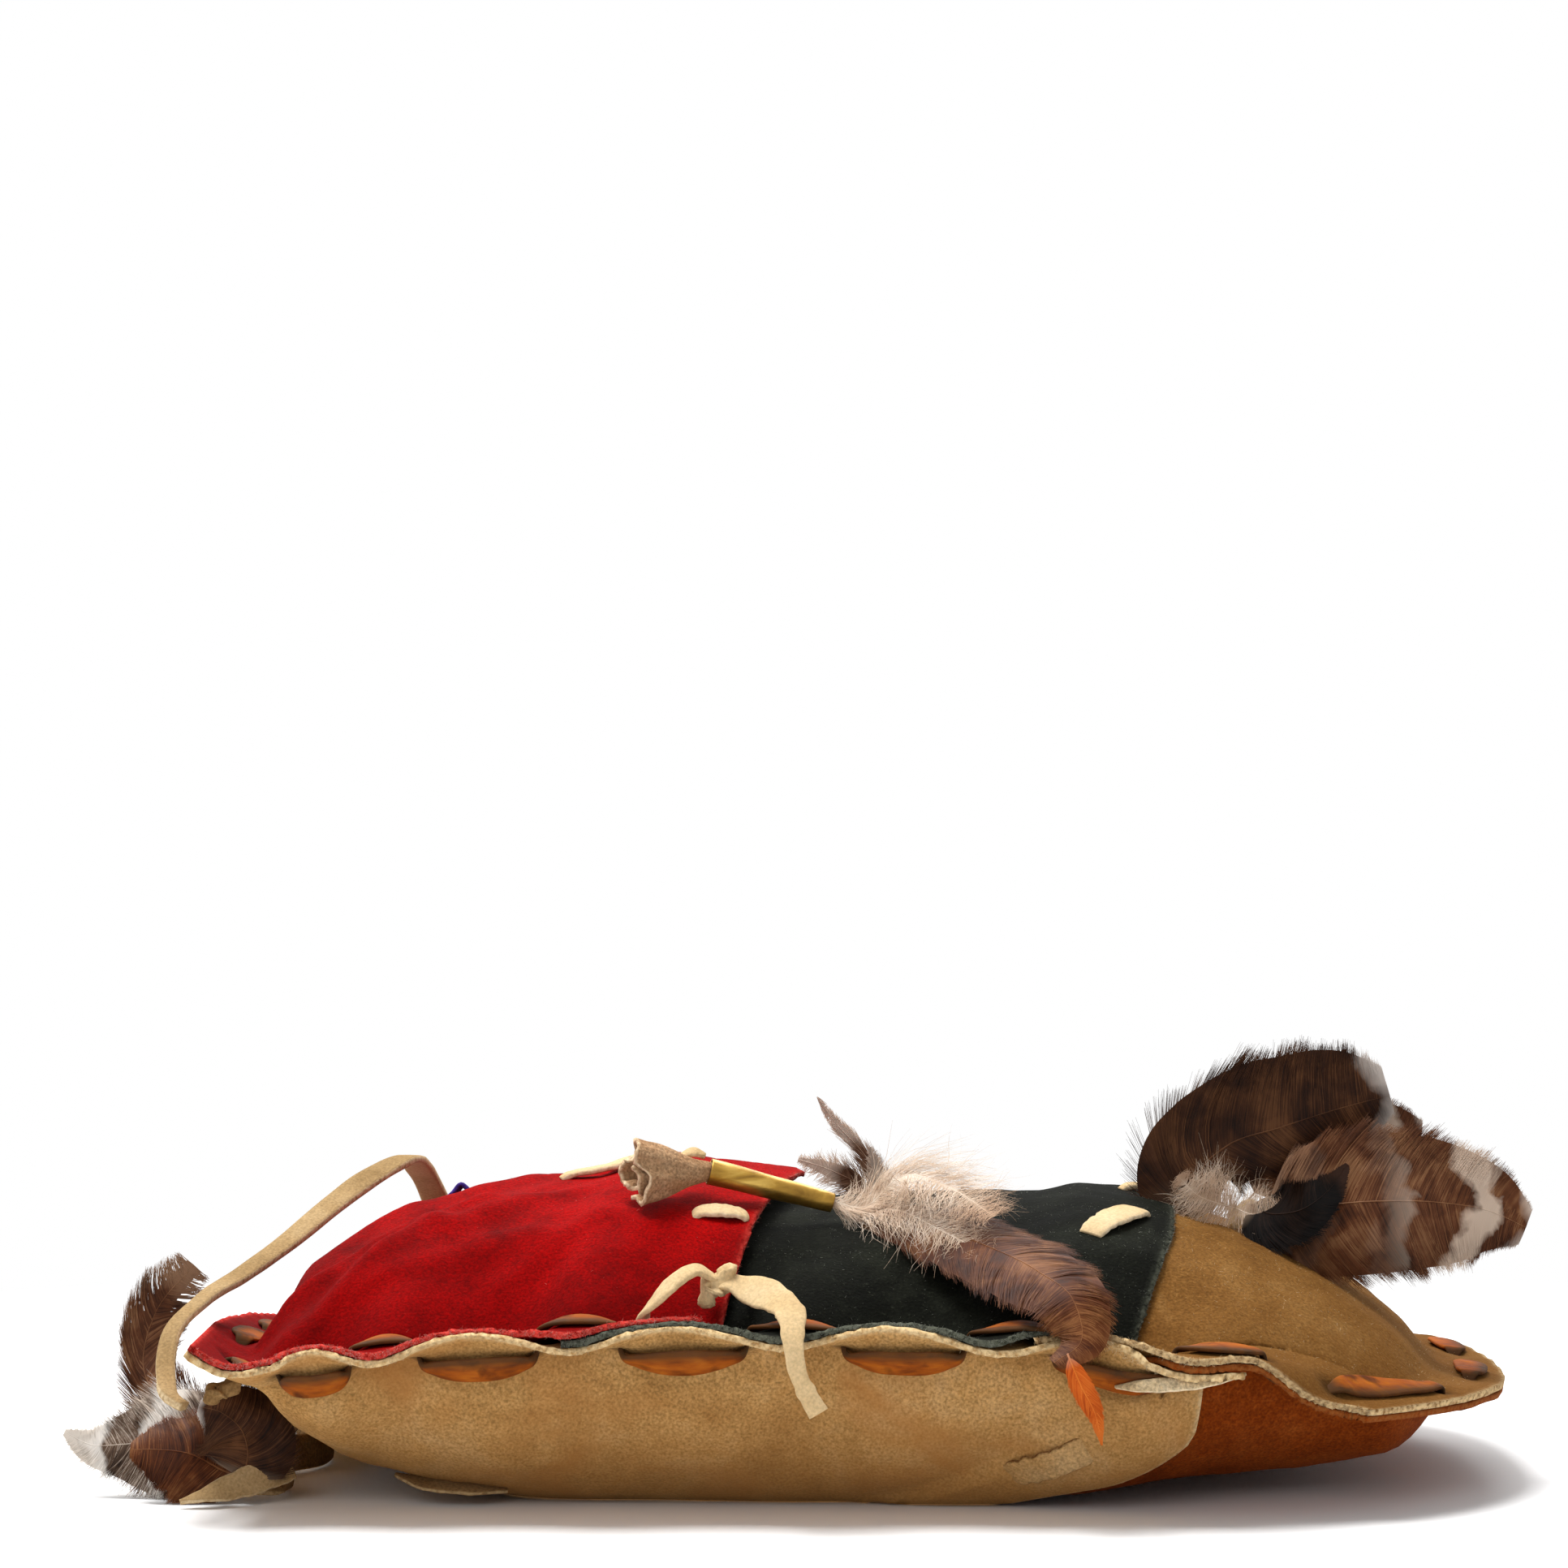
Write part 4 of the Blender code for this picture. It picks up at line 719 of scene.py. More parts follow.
def lace_run():
    """The lace's whole run of points, directions across it and bows, round the rim.

    Rest and in_front are a stitch's clearance, bow height and thickness. Odd stitches
    lie in front of the rim, and even ones behind it.
    """
    inset_v, inset_u = LACE_INSET / HALF_WIDTH, LACE_INSET / HALF_LENGTH
    strap_end = [(inset_u - 1, y / HALF_WIDTH) for y in STRAP_END_SLOTS][::-1]
    bottom = [(1 - inset_u, y / (HALF_WIDTH - BOTTOM_NARROWING)) for y in BOTTOM_SLOTS]
    near, far = [(u, inset_v - 1) for u in SLOTS], [(u, 1 - inset_v) for u in SLOTS[::-1]]
    stations = strap_end + near + bottom + far
    rest, in_front = (0.1 * MM, 0.7 * MM, 1.3 * MM), (0.1 * MM, 0.3 * MM, 1.3 * MM)
    opening = np.subtract(stations[0], stations[-1])
    run = stitch(stations[0] - opening * 0.4, stations[0], True, (0, 0.5, 0.9), (0, 0.6, 0), *rest)
    for k, here in enumerate(stations[:-1]):
        there = stations[k + 1]
        point, _, across = frame_at(here, "back", np.add(here, np.subtract(there, stations[max(k - 1, 0)])))
        run.append((point, across, 0))
        rise = SLIT_RISE / np.linalg.norm(frame_at(there, "back", here)[0] - point)
        shares = (rise, 0.16, 0.32, 0.5, 0.68, 0.84, 1 - rise)
        run += stitch(here, there, k % 2 == 1, shares, (0.2, 0.7, 1, 1.05, 1, 0.7, 0.2),
                      *(in_front if k % 2 == 1 else rest))
    last = stations[-1]
    point, _, across = frame_at(last, "back", last + opening)
    run.append((point, across, 0))
    return run + stitch(last, last + opening * 0.4, True, (0.1, 0.5, 1), (0, 0.6, 0), *rest)


def leather(name, dark, base, light):
    """Oiled leather strip: colour drawn out along X, darker in its pits, with a soft shine."""
    made, tree, shader, at = fresh(name)
    cloud = noise(tree, at, 90, 4.0, (1, 1, 1.6), 0.5)
    fibre = noise(tree, at, 650, 4.0, (0.35, 1, 1.4))
    colour = ramp(tree, total(tree, (cloud, 0.6), (fibre, 0.4)), [(0.34, dark), (0.5, base), (0.66, light)])
    stain = scaled(tree, noise(tree, at, 140, 4.0), 0.56, 0.7, 0, 0.75)
    colour = mixed(tree, stain, colour, srgb(*[channel * 0.45 for channel in dark]))
    # The edge value darkens the lace: partly its dark cut edge, partly painted shade under the rim and in the
    # slits.
    rim = maths(tree, "MULTIPLY", kept_value(tree, "edge"), 0.88)
    colour = mixed(tree, rim, colour, srgb(58, 46, 30))
    tree.links.new(colour, shader.inputs["Base Color"])
    tree.links.new(scaled(tree, fibre, 0.3, 0.7, 0.65, 0.9), shader.inputs["Roughness"])
    shader.inputs["Specular IOR Level"].default_value = 0.12
    roughen(tree, shader, fibre, 0.6, 0.3 * MM)
    return made


lace_leather = leather("orange lace leather", (96, 46, 12), (142, 72, 20), (168, 94, 30))
lace_points, lace_ways, lace_bows = zip(*lace_run())
lace_steps, lace_sides = 6 * len(lace_points), 18
lace_path = rounded(lace_points, lace_steps)
lace_across = rounded(lace_ways, lace_steps, lace_points)
lace_bow = np.clip(rounded([(bow,) for bow in lace_bows], lace_steps, lace_points)[:, 0], 0, 1)
lace_width = (2.6 + 5.4 * lace_bow**0.7) * MM * uneven(lace_steps, 0.04, 11, 25)
lace_thickness = (1.1 + 0.3 * lace_bow) * MM
lace_side = np.cos((np.arange(lace_sides) + 0.5) / lace_sides * 2 * np.pi)
# The half of the lace under the overhanging rim is darker for its dark cut edge and for painted shade, and
# where it dips into a slit it is darkened as painted shade.
lace_edge_and_shade = smooth(-0.1, -0.5, lace_side)[None, :] * 0.9 + (1 - smooth(0.05, 0.35, lace_bow))[:, None]
piece("edge_lace", strip(lace_path, lace_across, lace_width, lace_thickness, lace_sides, 0.6),
      lace_leather, ["edge_lace"], {"edge": np.clip(lace_edge_and_shade, 0, 1)})


# SHORT STITCHES OF THONG
# Where one piece of suede laps another, a single stitch of pale thong holds them. Each goes in at
# one slit and comes out of another, and lies slack over the nap between them. The photo also
# shows one in the rim, a cut end by the near tassel, and a flap under the belly.
STITCH_THICKNESS = 1.7


def find(x, y, back):
    """The shares u and v of a place in plan, by repeated correction."""
    u, v = 0.0, 0.0
    for _ in range(60):
        at_x, at_y = plan(np.array(u), np.array(v), back)
        u = float(np.clip(u + 0.7 * (x - at_x) / HALF_LENGTH, -1, 1))
        v = float(np.clip(v + 0.7 * (y - at_y) / HALF_WIDTH, -1, 1))
    return u, v


def thong(name, start, end, width, back, finish, seed, bow):
    """One stitch between two places in plan, in millimetres, sunk at its ends, fuller in its middle."""
    a, b = find(*np.array(start) * MM, back), find(*np.array(end) * MM, back)
    shares = (-0.02, 0.04, 0.12, 0.3, 0.5, 0.7, 0.88, 0.96, 1.02)
    bows = np.array((-2.6, -0.9, 0.2, 0.9, 1.2, 0.9, 0.2, -0.9, -2.6)) * 1.1 * (0.6 / bow) ** 0.5
    run = stitch(a, b, not back, shares, bows, 0.25 * MM, bow * MM, 1.6 * MM)
    points, ways, _ = zip(*run)
    steps = 60
    path, across = rounded(points, steps), rounded(ways, steps, points)
    fuller = 0.72 + 0.34 * np.sin(np.pi * np.linspace(0, 1, steps)) ** 0.7
    wide = width * MM * fuller * uneven(steps, 0.05, seed, 9)
    thick = STITCH_THICKNESS * MM * uneven(steps, 0.06, seed + 1, 9)
    shape = strip(path, across, wide, thick, 16, 0.6)
    piece(name, shape, finish, [name], edge_values(16, steps, (0.8, 1)))


stitch_suede = suede("beige stitch suede", (140, 100, 58), (192, 150, 96), (212, 176, 126),
                     (92, 60, 32), 0.8, mottle=0.2)
thong("lap_stitch_red", (-75, -18), (-52, -14), 5.5, 0, pale_thong, 21, 0.3)
thong("lap_stitch_mouth", (-42, -57), (-30, -56), 5.5, 0, pale_thong, 23, 0.3)
thong("lap_stitch_green", (53, -55), (66, -36), 7.5, 0, pale_thong, 25, 0.4)
thong("lap_stitch_bottom", (64, -3), (77, 1), 5, 0, pale_thong, 27, 0.3)
thong("back_stitch_low", (31, -78), (53, -86), 7.5, 1, stitch_suede, 29, 1.6)


def band(points, across, widths, thickness, steps, seed, wander=(0.05, 0.06), square=0.55):
    """A strip through points, with a width at each of them, all in millimetres.

    Wander is how far its width and its thickness stray, as shares of them.
    """
    path = rounded(np.array(points) * MM, steps)
    wide = rounded([(width,) for width in widths], steps, points)[:, 0] * MM
    wide = wide * uneven(steps, wander[0], seed, 9)
    thick = thickness * MM * uneven(steps, wander[1], seed + 1, 9)
    return strip(path, rounded(across, steps, points), wide, thick, 14, square)


def extra_band(name, points, across, widths, thickness, finish, seed):
    """A strip that the solids leave out, through points in millimetres."""
    shape = band(points, across, widths, thickness, 50, seed, (0.06, 0.08), 0.6)
    return piece(name, shape, finish, [], edge_values(14, 50, (0.8, 1)))


extra_band("back_stitch_rim",
           [(56, -101, 32), (61, -104, 32.6), (70, -103.4, 33), (78, -102, 33.6), (86, -99, 34.6)],
           [(0, 0.5, 1)] * 5, [0.6, 2.8, 3.4, 2.6, 0.6], 1.4, tan_fibre, 81)
extra_band("stitch_end_high", [(-47, -46, 78.4), (-45, -46.5, 81), (-42.4, -46.5, 82), (-39.6, -46, 81)],
           [(0.2, 1, 0.5)] * 4, [1, 3.4, 3.6, 1.4], 1.4, pale_thong, 89)
# The flap under the belly is given the darker suede as painted shade.
extra_band("under_flap_left", [(-113, -64, 6.5), (-106, -68, 5.2), (-96, -70, 4.2), (-86, -69, 3.4)],
           [(0, 1, 0.35)] * 4, [1, 6, 6, 1], 1.2, shaded_strap_suede, 85)


# MOUTH TIE AND KNOTS
# A pale thong comes up through the red and the green piece and is tied in one overhand knot over
# the mouth. Its free end widens to a leaf and hangs down over the rim. The same thong ties the
# feathers to the bottom piece and the strap to its two corners.
KNOT_TURNS = 2.2


def tied(centre, size, width, seed):
    """The wrapped band of a knot, its centre, half sizes and width in millimetres.

    The strip winds 2.2 times round a tilted ring whose radius swells three times a turn.
    """
    steps = 90
    t = np.linspace(0, 1, steps)
    turn = 2 * np.pi * KNOT_TURNS * t + seed
    ring = np.stack([np.cos(turn), np.sin(turn) * (1 - 0.25 * t), np.sin(turn + 0.9) * (0.7 + 0.3 * t)], 1)
    swell = (0.75 + 0.25 * np.cos(3 * turn))[:, None] * 0.9
    path = np.array(centre) * MM + ring * np.array(size) * MM * swell
    across = np.stack([0.35 * np.sin(turn), 0.25 + 0 * turn, np.cos(turn)], 1) + 0.3 * ring
    wide = width * MM * uneven(steps, 0.06, 40 + int(seed * 7), 11)
    return strip(path, across, wide, 1.9 * MM, 12, 0.7)


tie_loop = band([(-53.5, -93, 45.6), (-53, -94, 48), (-50, -95, 51.5), (-46, -94, 55.5), (-41, -91, 58),
                 (-37, -88, 56)],
                [(0.6, 1, 0.6), (0.6, 1, 0.6), (0.3, 1, 0.8), (0.1, 1, 0.8), (0.2, 1, 0.3), (0.2, 1, 0)],
                [5.5, 5.5, 5.2, 4.8, 4.6, 4], 1.7, 60, 31)
tie_root = band([(-29, -82, 50.6), (-29, -83, 52.6), (-31.5, -85, 54.5), (-35, -87, 54)],
                [(0, 1, 0.1), (0, 1, 0.1), (0, 1, 0.4), (0, 1, 0.5)], [5, 4.8, 4.4, 4], 1.6, 36, 33)
tie_end = band([(-37, -87, 54), (-33.5, -89, 55), (-29.6, -91, 54), (-22.6, -98, 52), (-19, -105, 49.5),
                (-18.4, -111.5, 43.5), (-17.4, -113.4, 37), (-14.6, -114, 31), (-12.6, -114, 27.6)],
               [(0.1, 1, 0.6), (0.2, 1, 0.6), (0.3, 1, 0.9), (0.6, 0.9, 0.9), (0.9, 0.5, 0.4), (1, 0.1, 0.1),
                (1, 0, 0.2), (1, 0, 0.3), (1, 0, 0.4)],
               [4, 5.5, 7.4, 7.8, 7, 5, 4.2, 4.6, 4.4], 1.5, 110, 35)
mouth_knot = tied((-36.6, -88, 54.2), (4.1, 3, 3.7), 5, 0.4)
bottom_knot = tied((93, -12, 64.1), (3.2, 2.6, 2.6), 3.6, 1.1)
near_knot = tied((-151, -96, 30.6), (4.4, 2.6, 2.0), 3.4, 1.7)
far_knot = tied((-149, 96.5, 12.5), (4.6, 3.6, 3.6), 5.5, 2.5)
piece("mouth_tie", joined([tie_loop, tie_root, tie_end, mouth_knot]), pale_thong, ["mouth_tie"])
piece("bottom_knot", bottom_knot, pale_thong, ["bottom_knot"])
# The near knot is of the pale thong, but it is given the darker suede as painted shade under the corner.
piece("strap_knot_near", near_knot, shaded_strap_suede, ["strap_knot_near"])
piece("strap_knot_far", far_knot, pale_thong, ["strap_knot_far"])


# BRASS TUBES
# Two tapered tubes rolled from thin brass sheet, dulled and brown in their hollows, with a seam
# along them and bright rubbed high places. The near one lies on the red and green pieces.
def aged_brass():
    """Thin brass sheet: three yellows by clouds drawn out along X, rougher where it is browner."""
    made, tree, shader, at = fresh("aged brass")
    cloud = noise(tree, at, 220, 5.0, (0.4, 1, 1), 0.5)
    fine = noise(tree, at, 1600, 4.0, (0.25, 1, 1))
    colour = ramp(tree, cloud, [(0.32, (112, 82, 36)), (0.5, (168, 130, 58)), (0.66, (204, 168, 88))])
    tree.links.new(colour, shader.inputs["Base Color"])
    shader.inputs["Metallic"].default_value = 0.85
    tree.links.new(scaled(tree, cloud, 0.3, 0.7, 0.5, 0.28), shader.inputs["Roughness"])
    roughen(tree, shader, fine, 0.35, 0.15 * MM)
    return made


brass = aged_brass()
NEAR_AXIS, FAR_AXIS = (0.9592, 0.1258, -0.2533), (0.9957, -0.0653, -0.0651)
TUBE_LENGTH, WALL, START_RADIUS, TAPER = 31, 0.45, 3.15, 0.75
SEAM_AT, SEAM_GAP = 2.3, 0.09


def tube(name, start, axis, seed):
    """A rolled tapered tube, open along its seam, from a start in millimetres along an axis.

    The seam lies at an angle in radians and is as wide as its gap in them. The radius is
    the start's, less the taper times the share along to the power 1.3, plus slow dents.
    The inner face lies one wall further in.
    """
    axis = unit(np.array(axis, float))
    side_way = unit(np.cross(axis, (0, 0, 1)))
    up = np.cross(side_way, axis)
    along = np.concatenate([[0.0], np.linspace(0.25, TUBE_LENGTH - 0.25, 44), [TUBE_LENGTH]]) * MM
    turn = np.linspace(0.0, 2 * np.pi - SEAM_GAP, 57) + SEAM_AT
    s = along / (TUBE_LENGTH * MM)
    radius = (START_RADIUS - TAPER * s**1.3)[:, None] * MM
    dents = 0.1 * MM * np.sin(3 * turn[None] + 5 * s[:, None] + seed) * np.sin(7 * s[:, None] + seed)
    shapes = []
    for wall in (WALL, 0.0):
        r = radius + dents - wall * MM
        ring = side_way * np.cos(turn)[None, :, None] + up * np.sin(turn)[None, :, None]
        shapes.append(np.array(start) * MM + axis * along[:, None, None] + ring * r[..., None])
    inner, outer = shapes
    return piece(name, slab(inner[:, ::-1], outer[:, ::-1]), brass, [name])


tube("near_tube", (-38.5, -50.0, 77.64), NEAR_AXIS, 1.0)
tube("far_tube", (-38.5, 80.0, 57.18), FAR_AXIS, 2.0)


# TASSELS
# The thick end of each tube is plugged by a scrap of pale suede rolled into a cone, whose loose
# end flares and shows the roll's inside.
HALF_SHEET, FRAYED = 0.55 * MM, 1.5 * MM


def rolled(name, centres, radii, seed):
    """A sheet wound 1.65 times about a bent axis, its centres and radii in millimetres along it.

    The roll's share of the radius grows from 0.5 to 1 over the turns, the loose end is
    cut unevenly, and the flare is frilled by waves of three, seven and seventeen a turn.
    """
    steps, around = 34, 74
    path = rounded(np.array(centres) * MM, steps)
    radius = rounded([(r,) for r in radii], steps, centres)[:, 0] * MM
    tangent = unit(np.gradient(path, axis=0))
    side_way = unit(np.cross(tangent, (0, 0, 1)))
    up = np.cross(side_way, tangent)
    turn = np.linspace(0, 3.3 * np.pi, around) + seed
    share = np.linspace(0.5, 1, around)
    s = np.linspace(0, 1, steps)[:, None]
    frill = 1 + 0.2 * s**2 * np.cos(3 * turn[None] + seed) + 0.08 * s * np.sin(7 * turn[None] + 4 * s)
    frill = frill + 0.05 * s * np.sin(17 * turn[None] + 9 * s + seed)
    ring = side_way[:, None] * np.cos(turn)[None, :, None] + up[:, None] * np.sin(turn)[None, :, None]
    ragged = FRAYED * s**3 * (np.sin(2.3 * turn + seed) + 0.5 * np.sin(5.1 * turn))[None]
    faces = []
    for inwards in (HALF_SHEET, -HALF_SHEET):
        r = radius[:, None] * share[None] * frill - inwards * (0.35 + 0.65 * s)
        faces.append(path[:, None] + ring * r[..., None] + tangent[:, None] * ragged[..., None])
    edge = np.zeros((steps, around))
    edge[[0, -1]] = edge[:, [0, -1]] = 1
    piece(name, slab(*faces), tassel_suede, [name], {"edge": np.concatenate([edge] * 2)})


tassel_suede = suede("tassel suede", (140, 96, 64), (184, 142, 104), (212, 176, 138), (234, 208, 172), 1.4)
rolled("near_tassel",
       [(-33.5, -49.3, 76.3), (-38.5, -50, 77.7), (-42.9, -51.8, 77.8), (-49.1, -54.2, 78.1),
        (-56.5, -57.2, 78.4)],
       [1.2, 2.2, 3.2, 5.8, 7.4], 0.6)
rolled("far_tassel",
       [(-33.5, 79.6, 56.8), (-38.5, 80, 57.2), (-43.2, 80, 57.2), (-49.9, 80, 57.2), (-57.5, 80, 57.2)],
       [1.2, 2.2, 3.2, 5.6, 7.2], 1.9)


# FEATHERS
# Body feathers of a brown and a barred bird, a tuft of pale down, a black and an orange one. Each
# has a horny quill and rows of barbs that cling into a vane, split here and there and worn. Their
# quills stick in a tube's bore, or are tied in by a knot or by the end of the strap's tail.
def feather_finish(name, dark, base, light, tip, tip_from=0.9, gloss=0.5, bars=None):
    """Barbs coloured along the feather and out from its quill, with bars where they are wanted.

    Bars are their number, their colour and the share where they begin. They are waves of
    the share along the feather, pushed towards the tip as they run out from the quill,
    and broken by noise. The tip's colour comes in over a tenth of the length, from tip_from.
    """
    made, tree, shader, at = fresh(name)
    share, out, tone = (kept_value(tree, label) for label in ("share", "out", "tone"))
    cloud = noise(tree, at, 110, 4.0, distortion=0.5)
    shading = total(tree, (cloud, 0.66), (tone, 0.34))
    colour = ramp(tree, shading, [(0.32, dark), (0.5, base), (0.68, light)])
    if bars:
        count, bar_colour, begin = bars
        wave_at = total(tree, (share, count * 6.283), (out, 1.6), (cloud, 4.5))
        bar = scaled(tree, maths(tree, "SINE", wave_at, 0.0), 0.1, 0.75)
        bar = maths(tree, "MULTIPLY", bar, scaled(tree, share, begin, begin + 0.25, 0.06, 0.75))
        colour = mixed(tree, bar, colour, srgb(*bar_colour))
    end = total(tree, (share, 1), (cloud, 0.12), (out, 0.08))
    colour = mixed(tree, scaled(tree, end, tip_from, tip_from + 0.1, 0, 0.85), colour, srgb(*tip))
    down = scaled(tree, share, 0.16, 0.02, 0, 0.5)
    colour = mixed(tree, down, colour, srgb(186, 160, 136))
    tree.links.new(colour, shader.inputs["Base Color"])
    shader.inputs["Roughness"].default_value = gloss
    shader.inputs["Specular IOR Level"].default_value = 0.12
    leaf = node(tree, "ShaderNodeBsdfTranslucent", {"Color": colour})
    both = node(tree, "ShaderNodeMixShader", {0: 0.12, 1: shader.outputs[0], 2: leaf.outputs[0]})
    tree.links.new(both.outputs[0], tree.nodes["Material Output"].inputs["Surface"])
    return made


def feather(route, halves, facing, seed, barbs, lead, cup, fluff, clumps, thin=0.3, bare=0.05,
            quill=0.55, split=0.35, vane=0.9, curl=0.0, slim=1.0):
    """A feather along a route in millimetres: its quill as a tapered strip and barbs on both sides.

    A barb leaves the quill at its share along it and bends forward, to end on the
    outline: at its share plus lead times what is left of the quill, less near its root,
    out by the half width there, and down by cup times that. One side is slim times as
    wide. Halves are half widths at even steps along it, thin and quill the thickness of
    a barb and of the quill, all in millimetres, and the quill is bare up to bare.
    Barbs of one clump draw together by split, and fluff and curl are how far their ends
    stray and wind, as shares of the width. A thin web fills vane of the barbs' length.
    The quill has that many steps, a barb that many bends, and a web rows of columns.
    """
    steps, bends, rows, columns = 160, 7, 200, 9
    random = np.random.default_rng(seed)
    path = rounded(np.array(route) * MM, steps)
    tangent = unit(np.gradient(path, axis=0))
    facing = unit(np.array(facing, float))
    across = unit(np.cross(np.broadcast_to(facing, tangent.shape), tangent))
    normal = np.cross(tangent, across)
    places = np.linspace(0, 1, steps)

    def at(values, share):
        """Points or directions read off at shares of the quill."""
        return np.stack([np.interp(share, places, values[:, axis]) for axis in range(3)], -1)

    def ahead(place, share):
        """Where a barb from a place ends: lead times what is left, a third of it near the root."""
        return place + lead * (1 - place) * (0.3 + 0.7 * smooth(0, 0.3, share))

    def half_width(share, way):
        """The outline's half width at a share, never under 0.2 mm, slim on one side."""
        width = np.maximum(through(list(zip(np.linspace(0, 1, len(halves)), halves)), share), 0.2) * MM
        return width * np.where(way > 0, 1, slim)

    def lines(share, end, way, half, t):
        """Curves from the quill at share to the outline at end, bent about a point between them."""
        start, goal = at(path, share), at(path, end) + at(across, end) * (way * half)[:, None]
        turn = at(path, share + 0.42 * (end - share)) + at(across, share) * (way * half * 0.62)[:, None]
        t = t[None, :, None]
        line = start[:, None] * (1 - t) ** 2 + turn[:, None] * 2 * t * (1 - t) + goal[:, None] * t**2
        return line - at(normal, share)[:, None] * cup * half[:, None, None] * t**2

    share = np.sort(np.concatenate([np.linspace(bare, 1, barbs)] * 2))
    share = np.clip(share + random.normal(0, 0.4 / barbs, len(share)), bare, 1)
    way = np.where(np.arange(len(share)) % 2, 1.0, -1.0)
    bounds = np.sort(random.uniform(0, 1, clumps))
    group = np.searchsorted(bounds, share) + (way > 0) * (clumps + 1)
    groups = 2 * clumps + 2
    centre = np.array([share[group == g].mean() if (group == g).any() else 0 for g in range(groups)])
    drawn = share + (centre[group] - share) * random.uniform(0, split, groups)[group]
    end = np.clip(ahead(drawn, share) + random.normal(0, 0.004 + 0.05 * fluff, len(share)), 0, 1)
    waves = 1 + 0.04 * np.sin(share * 23 + seed) + 0.03 * np.sin(share * 61 + 2 * seed)
    half = half_width(end, way) * waves * (1 + random.normal(0, 0.02 + 0.4 * fluff, len(share)))
    t = np.linspace(0, 1, bends)
    line = lines(share, end, way, half, t)
    t = t[None, :, None]
    stray = random.normal(0, 1, (len(share), 1, 3)) * half[:, None, None] * fluff
    phase = random.uniform(0, 6.3, (len(share), 1, 3))
    wind = curl * half[:, None, None] * (np.sin(7 * t + phase) - np.sin(phase))
    layer = random.normal(0, 0.2 * MM, groups)[group][:, None, None]
    line = line + stray * t**2 + wind * t + at(normal, share)[:, None] * (0.1 * MM + layer * t)
    wide = thin * MM * (1 - 0.8 * t**2) / 2
    edge_way = unit(np.cross(np.gradient(line, axis=1), at(normal, share)[:, None]))
    points = np.stack([line - edge_way * wide, line + edge_way * wide], 2)
    faces = grid_faces(bends, 2)[None] + (np.arange(len(share)) * 2 * bends)[:, None, None]
    thick = quill * MM * np.linspace(1, 0.25, steps)
    spine = strip(path + normal * 0.1 * MM, across, thick, thick * 0.8, 6, 1.0)
    shapes = [(points.reshape(-1, 3), faces.reshape(-1, 4)), spine]
    reached = share[:, None] + (end - share)[:, None] * t[0, :, 0] ** 1.3
    shares = [np.repeat(reached, 2, axis=1).ravel(), np.repeat(places, 6)]
    outs = [np.tile(np.repeat(t[0, :, 0], 2), len(share)), np.zeros(len(spine[0]))]
    barb_tone = np.clip(random.normal(0.5, 0.16, len(share)), 0, 1)
    tones = [np.repeat(barb_tone, 2 * bends), np.full(len(spine[0]), 0.85)]
    for side in (-1.0, 1.0) if vane else ():
        base = np.linspace(bare, 1, rows)
        reach = ahead(base, base)
        across_web = np.linspace(0, vane, columns)
        web = lines(base, reach, side + 0 * base, half_width(reach, side + 0 * base), across_web)
        shapes.append((web.reshape(-1, 3), grid_faces(rows, columns)))
        shares.append((base[:, None] + (reach - base)[:, None] * across_web**1.3).ravel())
        outs.append(np.tile(across_web, rows))
        streaks = np.convolve(random.normal(0, 1, rows + 4), np.ones(3) / 3, "same")[2:-2]
        tones.append(np.repeat(np.clip(0.45 + 0.2 * streaks, 0, 1), columns))
    values = {"share": np.concatenate(shares), "out": np.concatenate(outs), "tone": np.concatenate(tones)}
    verts, quads = joined(shapes)
    verts[:, 2] = np.maximum(verts[:, 2], 0.3 * MM)
    return (verts, quads), values


def add_feather(name, shapes, finish, nodes=None):
    """One object of one feather, or of a feather and the loose down at its root."""
    values = {key: np.concatenate([v[key] for _, v in shapes]) for key in ("share", "out", "tone")}
    return piece(name, joined([s for s, _ in shapes]), finish, nodes or [name], values)


def from_point(origin, offsets):
    """Places in millimetres given by their distances from a point in millimetres."""
    return [tuple(np.array(origin) + np.array(step)) for step in offsets]


def held(end, axis, shift, offsets):
    """A route that starts in a tube's bore and goes on by distances from its end."""
    start = [tuple(np.array(end) + np.array(axis) * along + np.array(shift)) for along in (-4, 8)]
    return start + from_point(end, offsets)


NEAR_END, FAR_END = (-8.77, -46.1, 69.78), (-7.63, 77.98, 55.17)
BOTTOM_AT, TAIL_AT = (93, -12, 64.14), (-150, -66, 3.6)
LOOSE = {"split": 1.0, "vane": 0}
brown = feather_finish("brown feather", (44, 20, 8), (90, 49, 25), (140, 92, 56), (110, 66, 38), 1.08)
soft_brown = feather_finish("soft brown feather", (78, 50, 36), (124, 92, 72), (172, 142, 120),
                            (236, 216, 198), 0.74, 0.7)
dark_brown = feather_finish("dark brown feather", (28, 14, 7), (62, 37, 22), (100, 66, 42),
                            (214, 204, 196), 1.01)
pale = feather_finish("pale down", (186, 156, 130), (216, 192, 168), (236, 222, 206), (190, 156, 128),
                      gloss=0.8)
barred = feather_finish("barred feather", (44, 24, 13), (90, 54, 34), (138, 98, 68), (224, 208, 194),
                        1.06, bars=(3.4, (214, 192, 172), 0.5))
black = feather_finish("black feather", (8, 6, 6), (18, 12, 10), (40, 28, 22), (60, 40, 30), gloss=0.4)
black_white = feather_finish("black and white feather", (18, 11, 8), (96, 76, 62), (206, 190, 174),
                             (226, 216, 204), bars=(3.4, (240, 234, 226), -0.3))
streaked = feather_finish("streaked feather", (40, 21, 11), (84, 50, 31), (132, 94, 66), (140, 108, 84),
                          0.95, 0.6)
orange = feather_finish("orange feather", (140, 50, 10), (190, 84, 24), (214, 116, 44), (200, 104, 40))

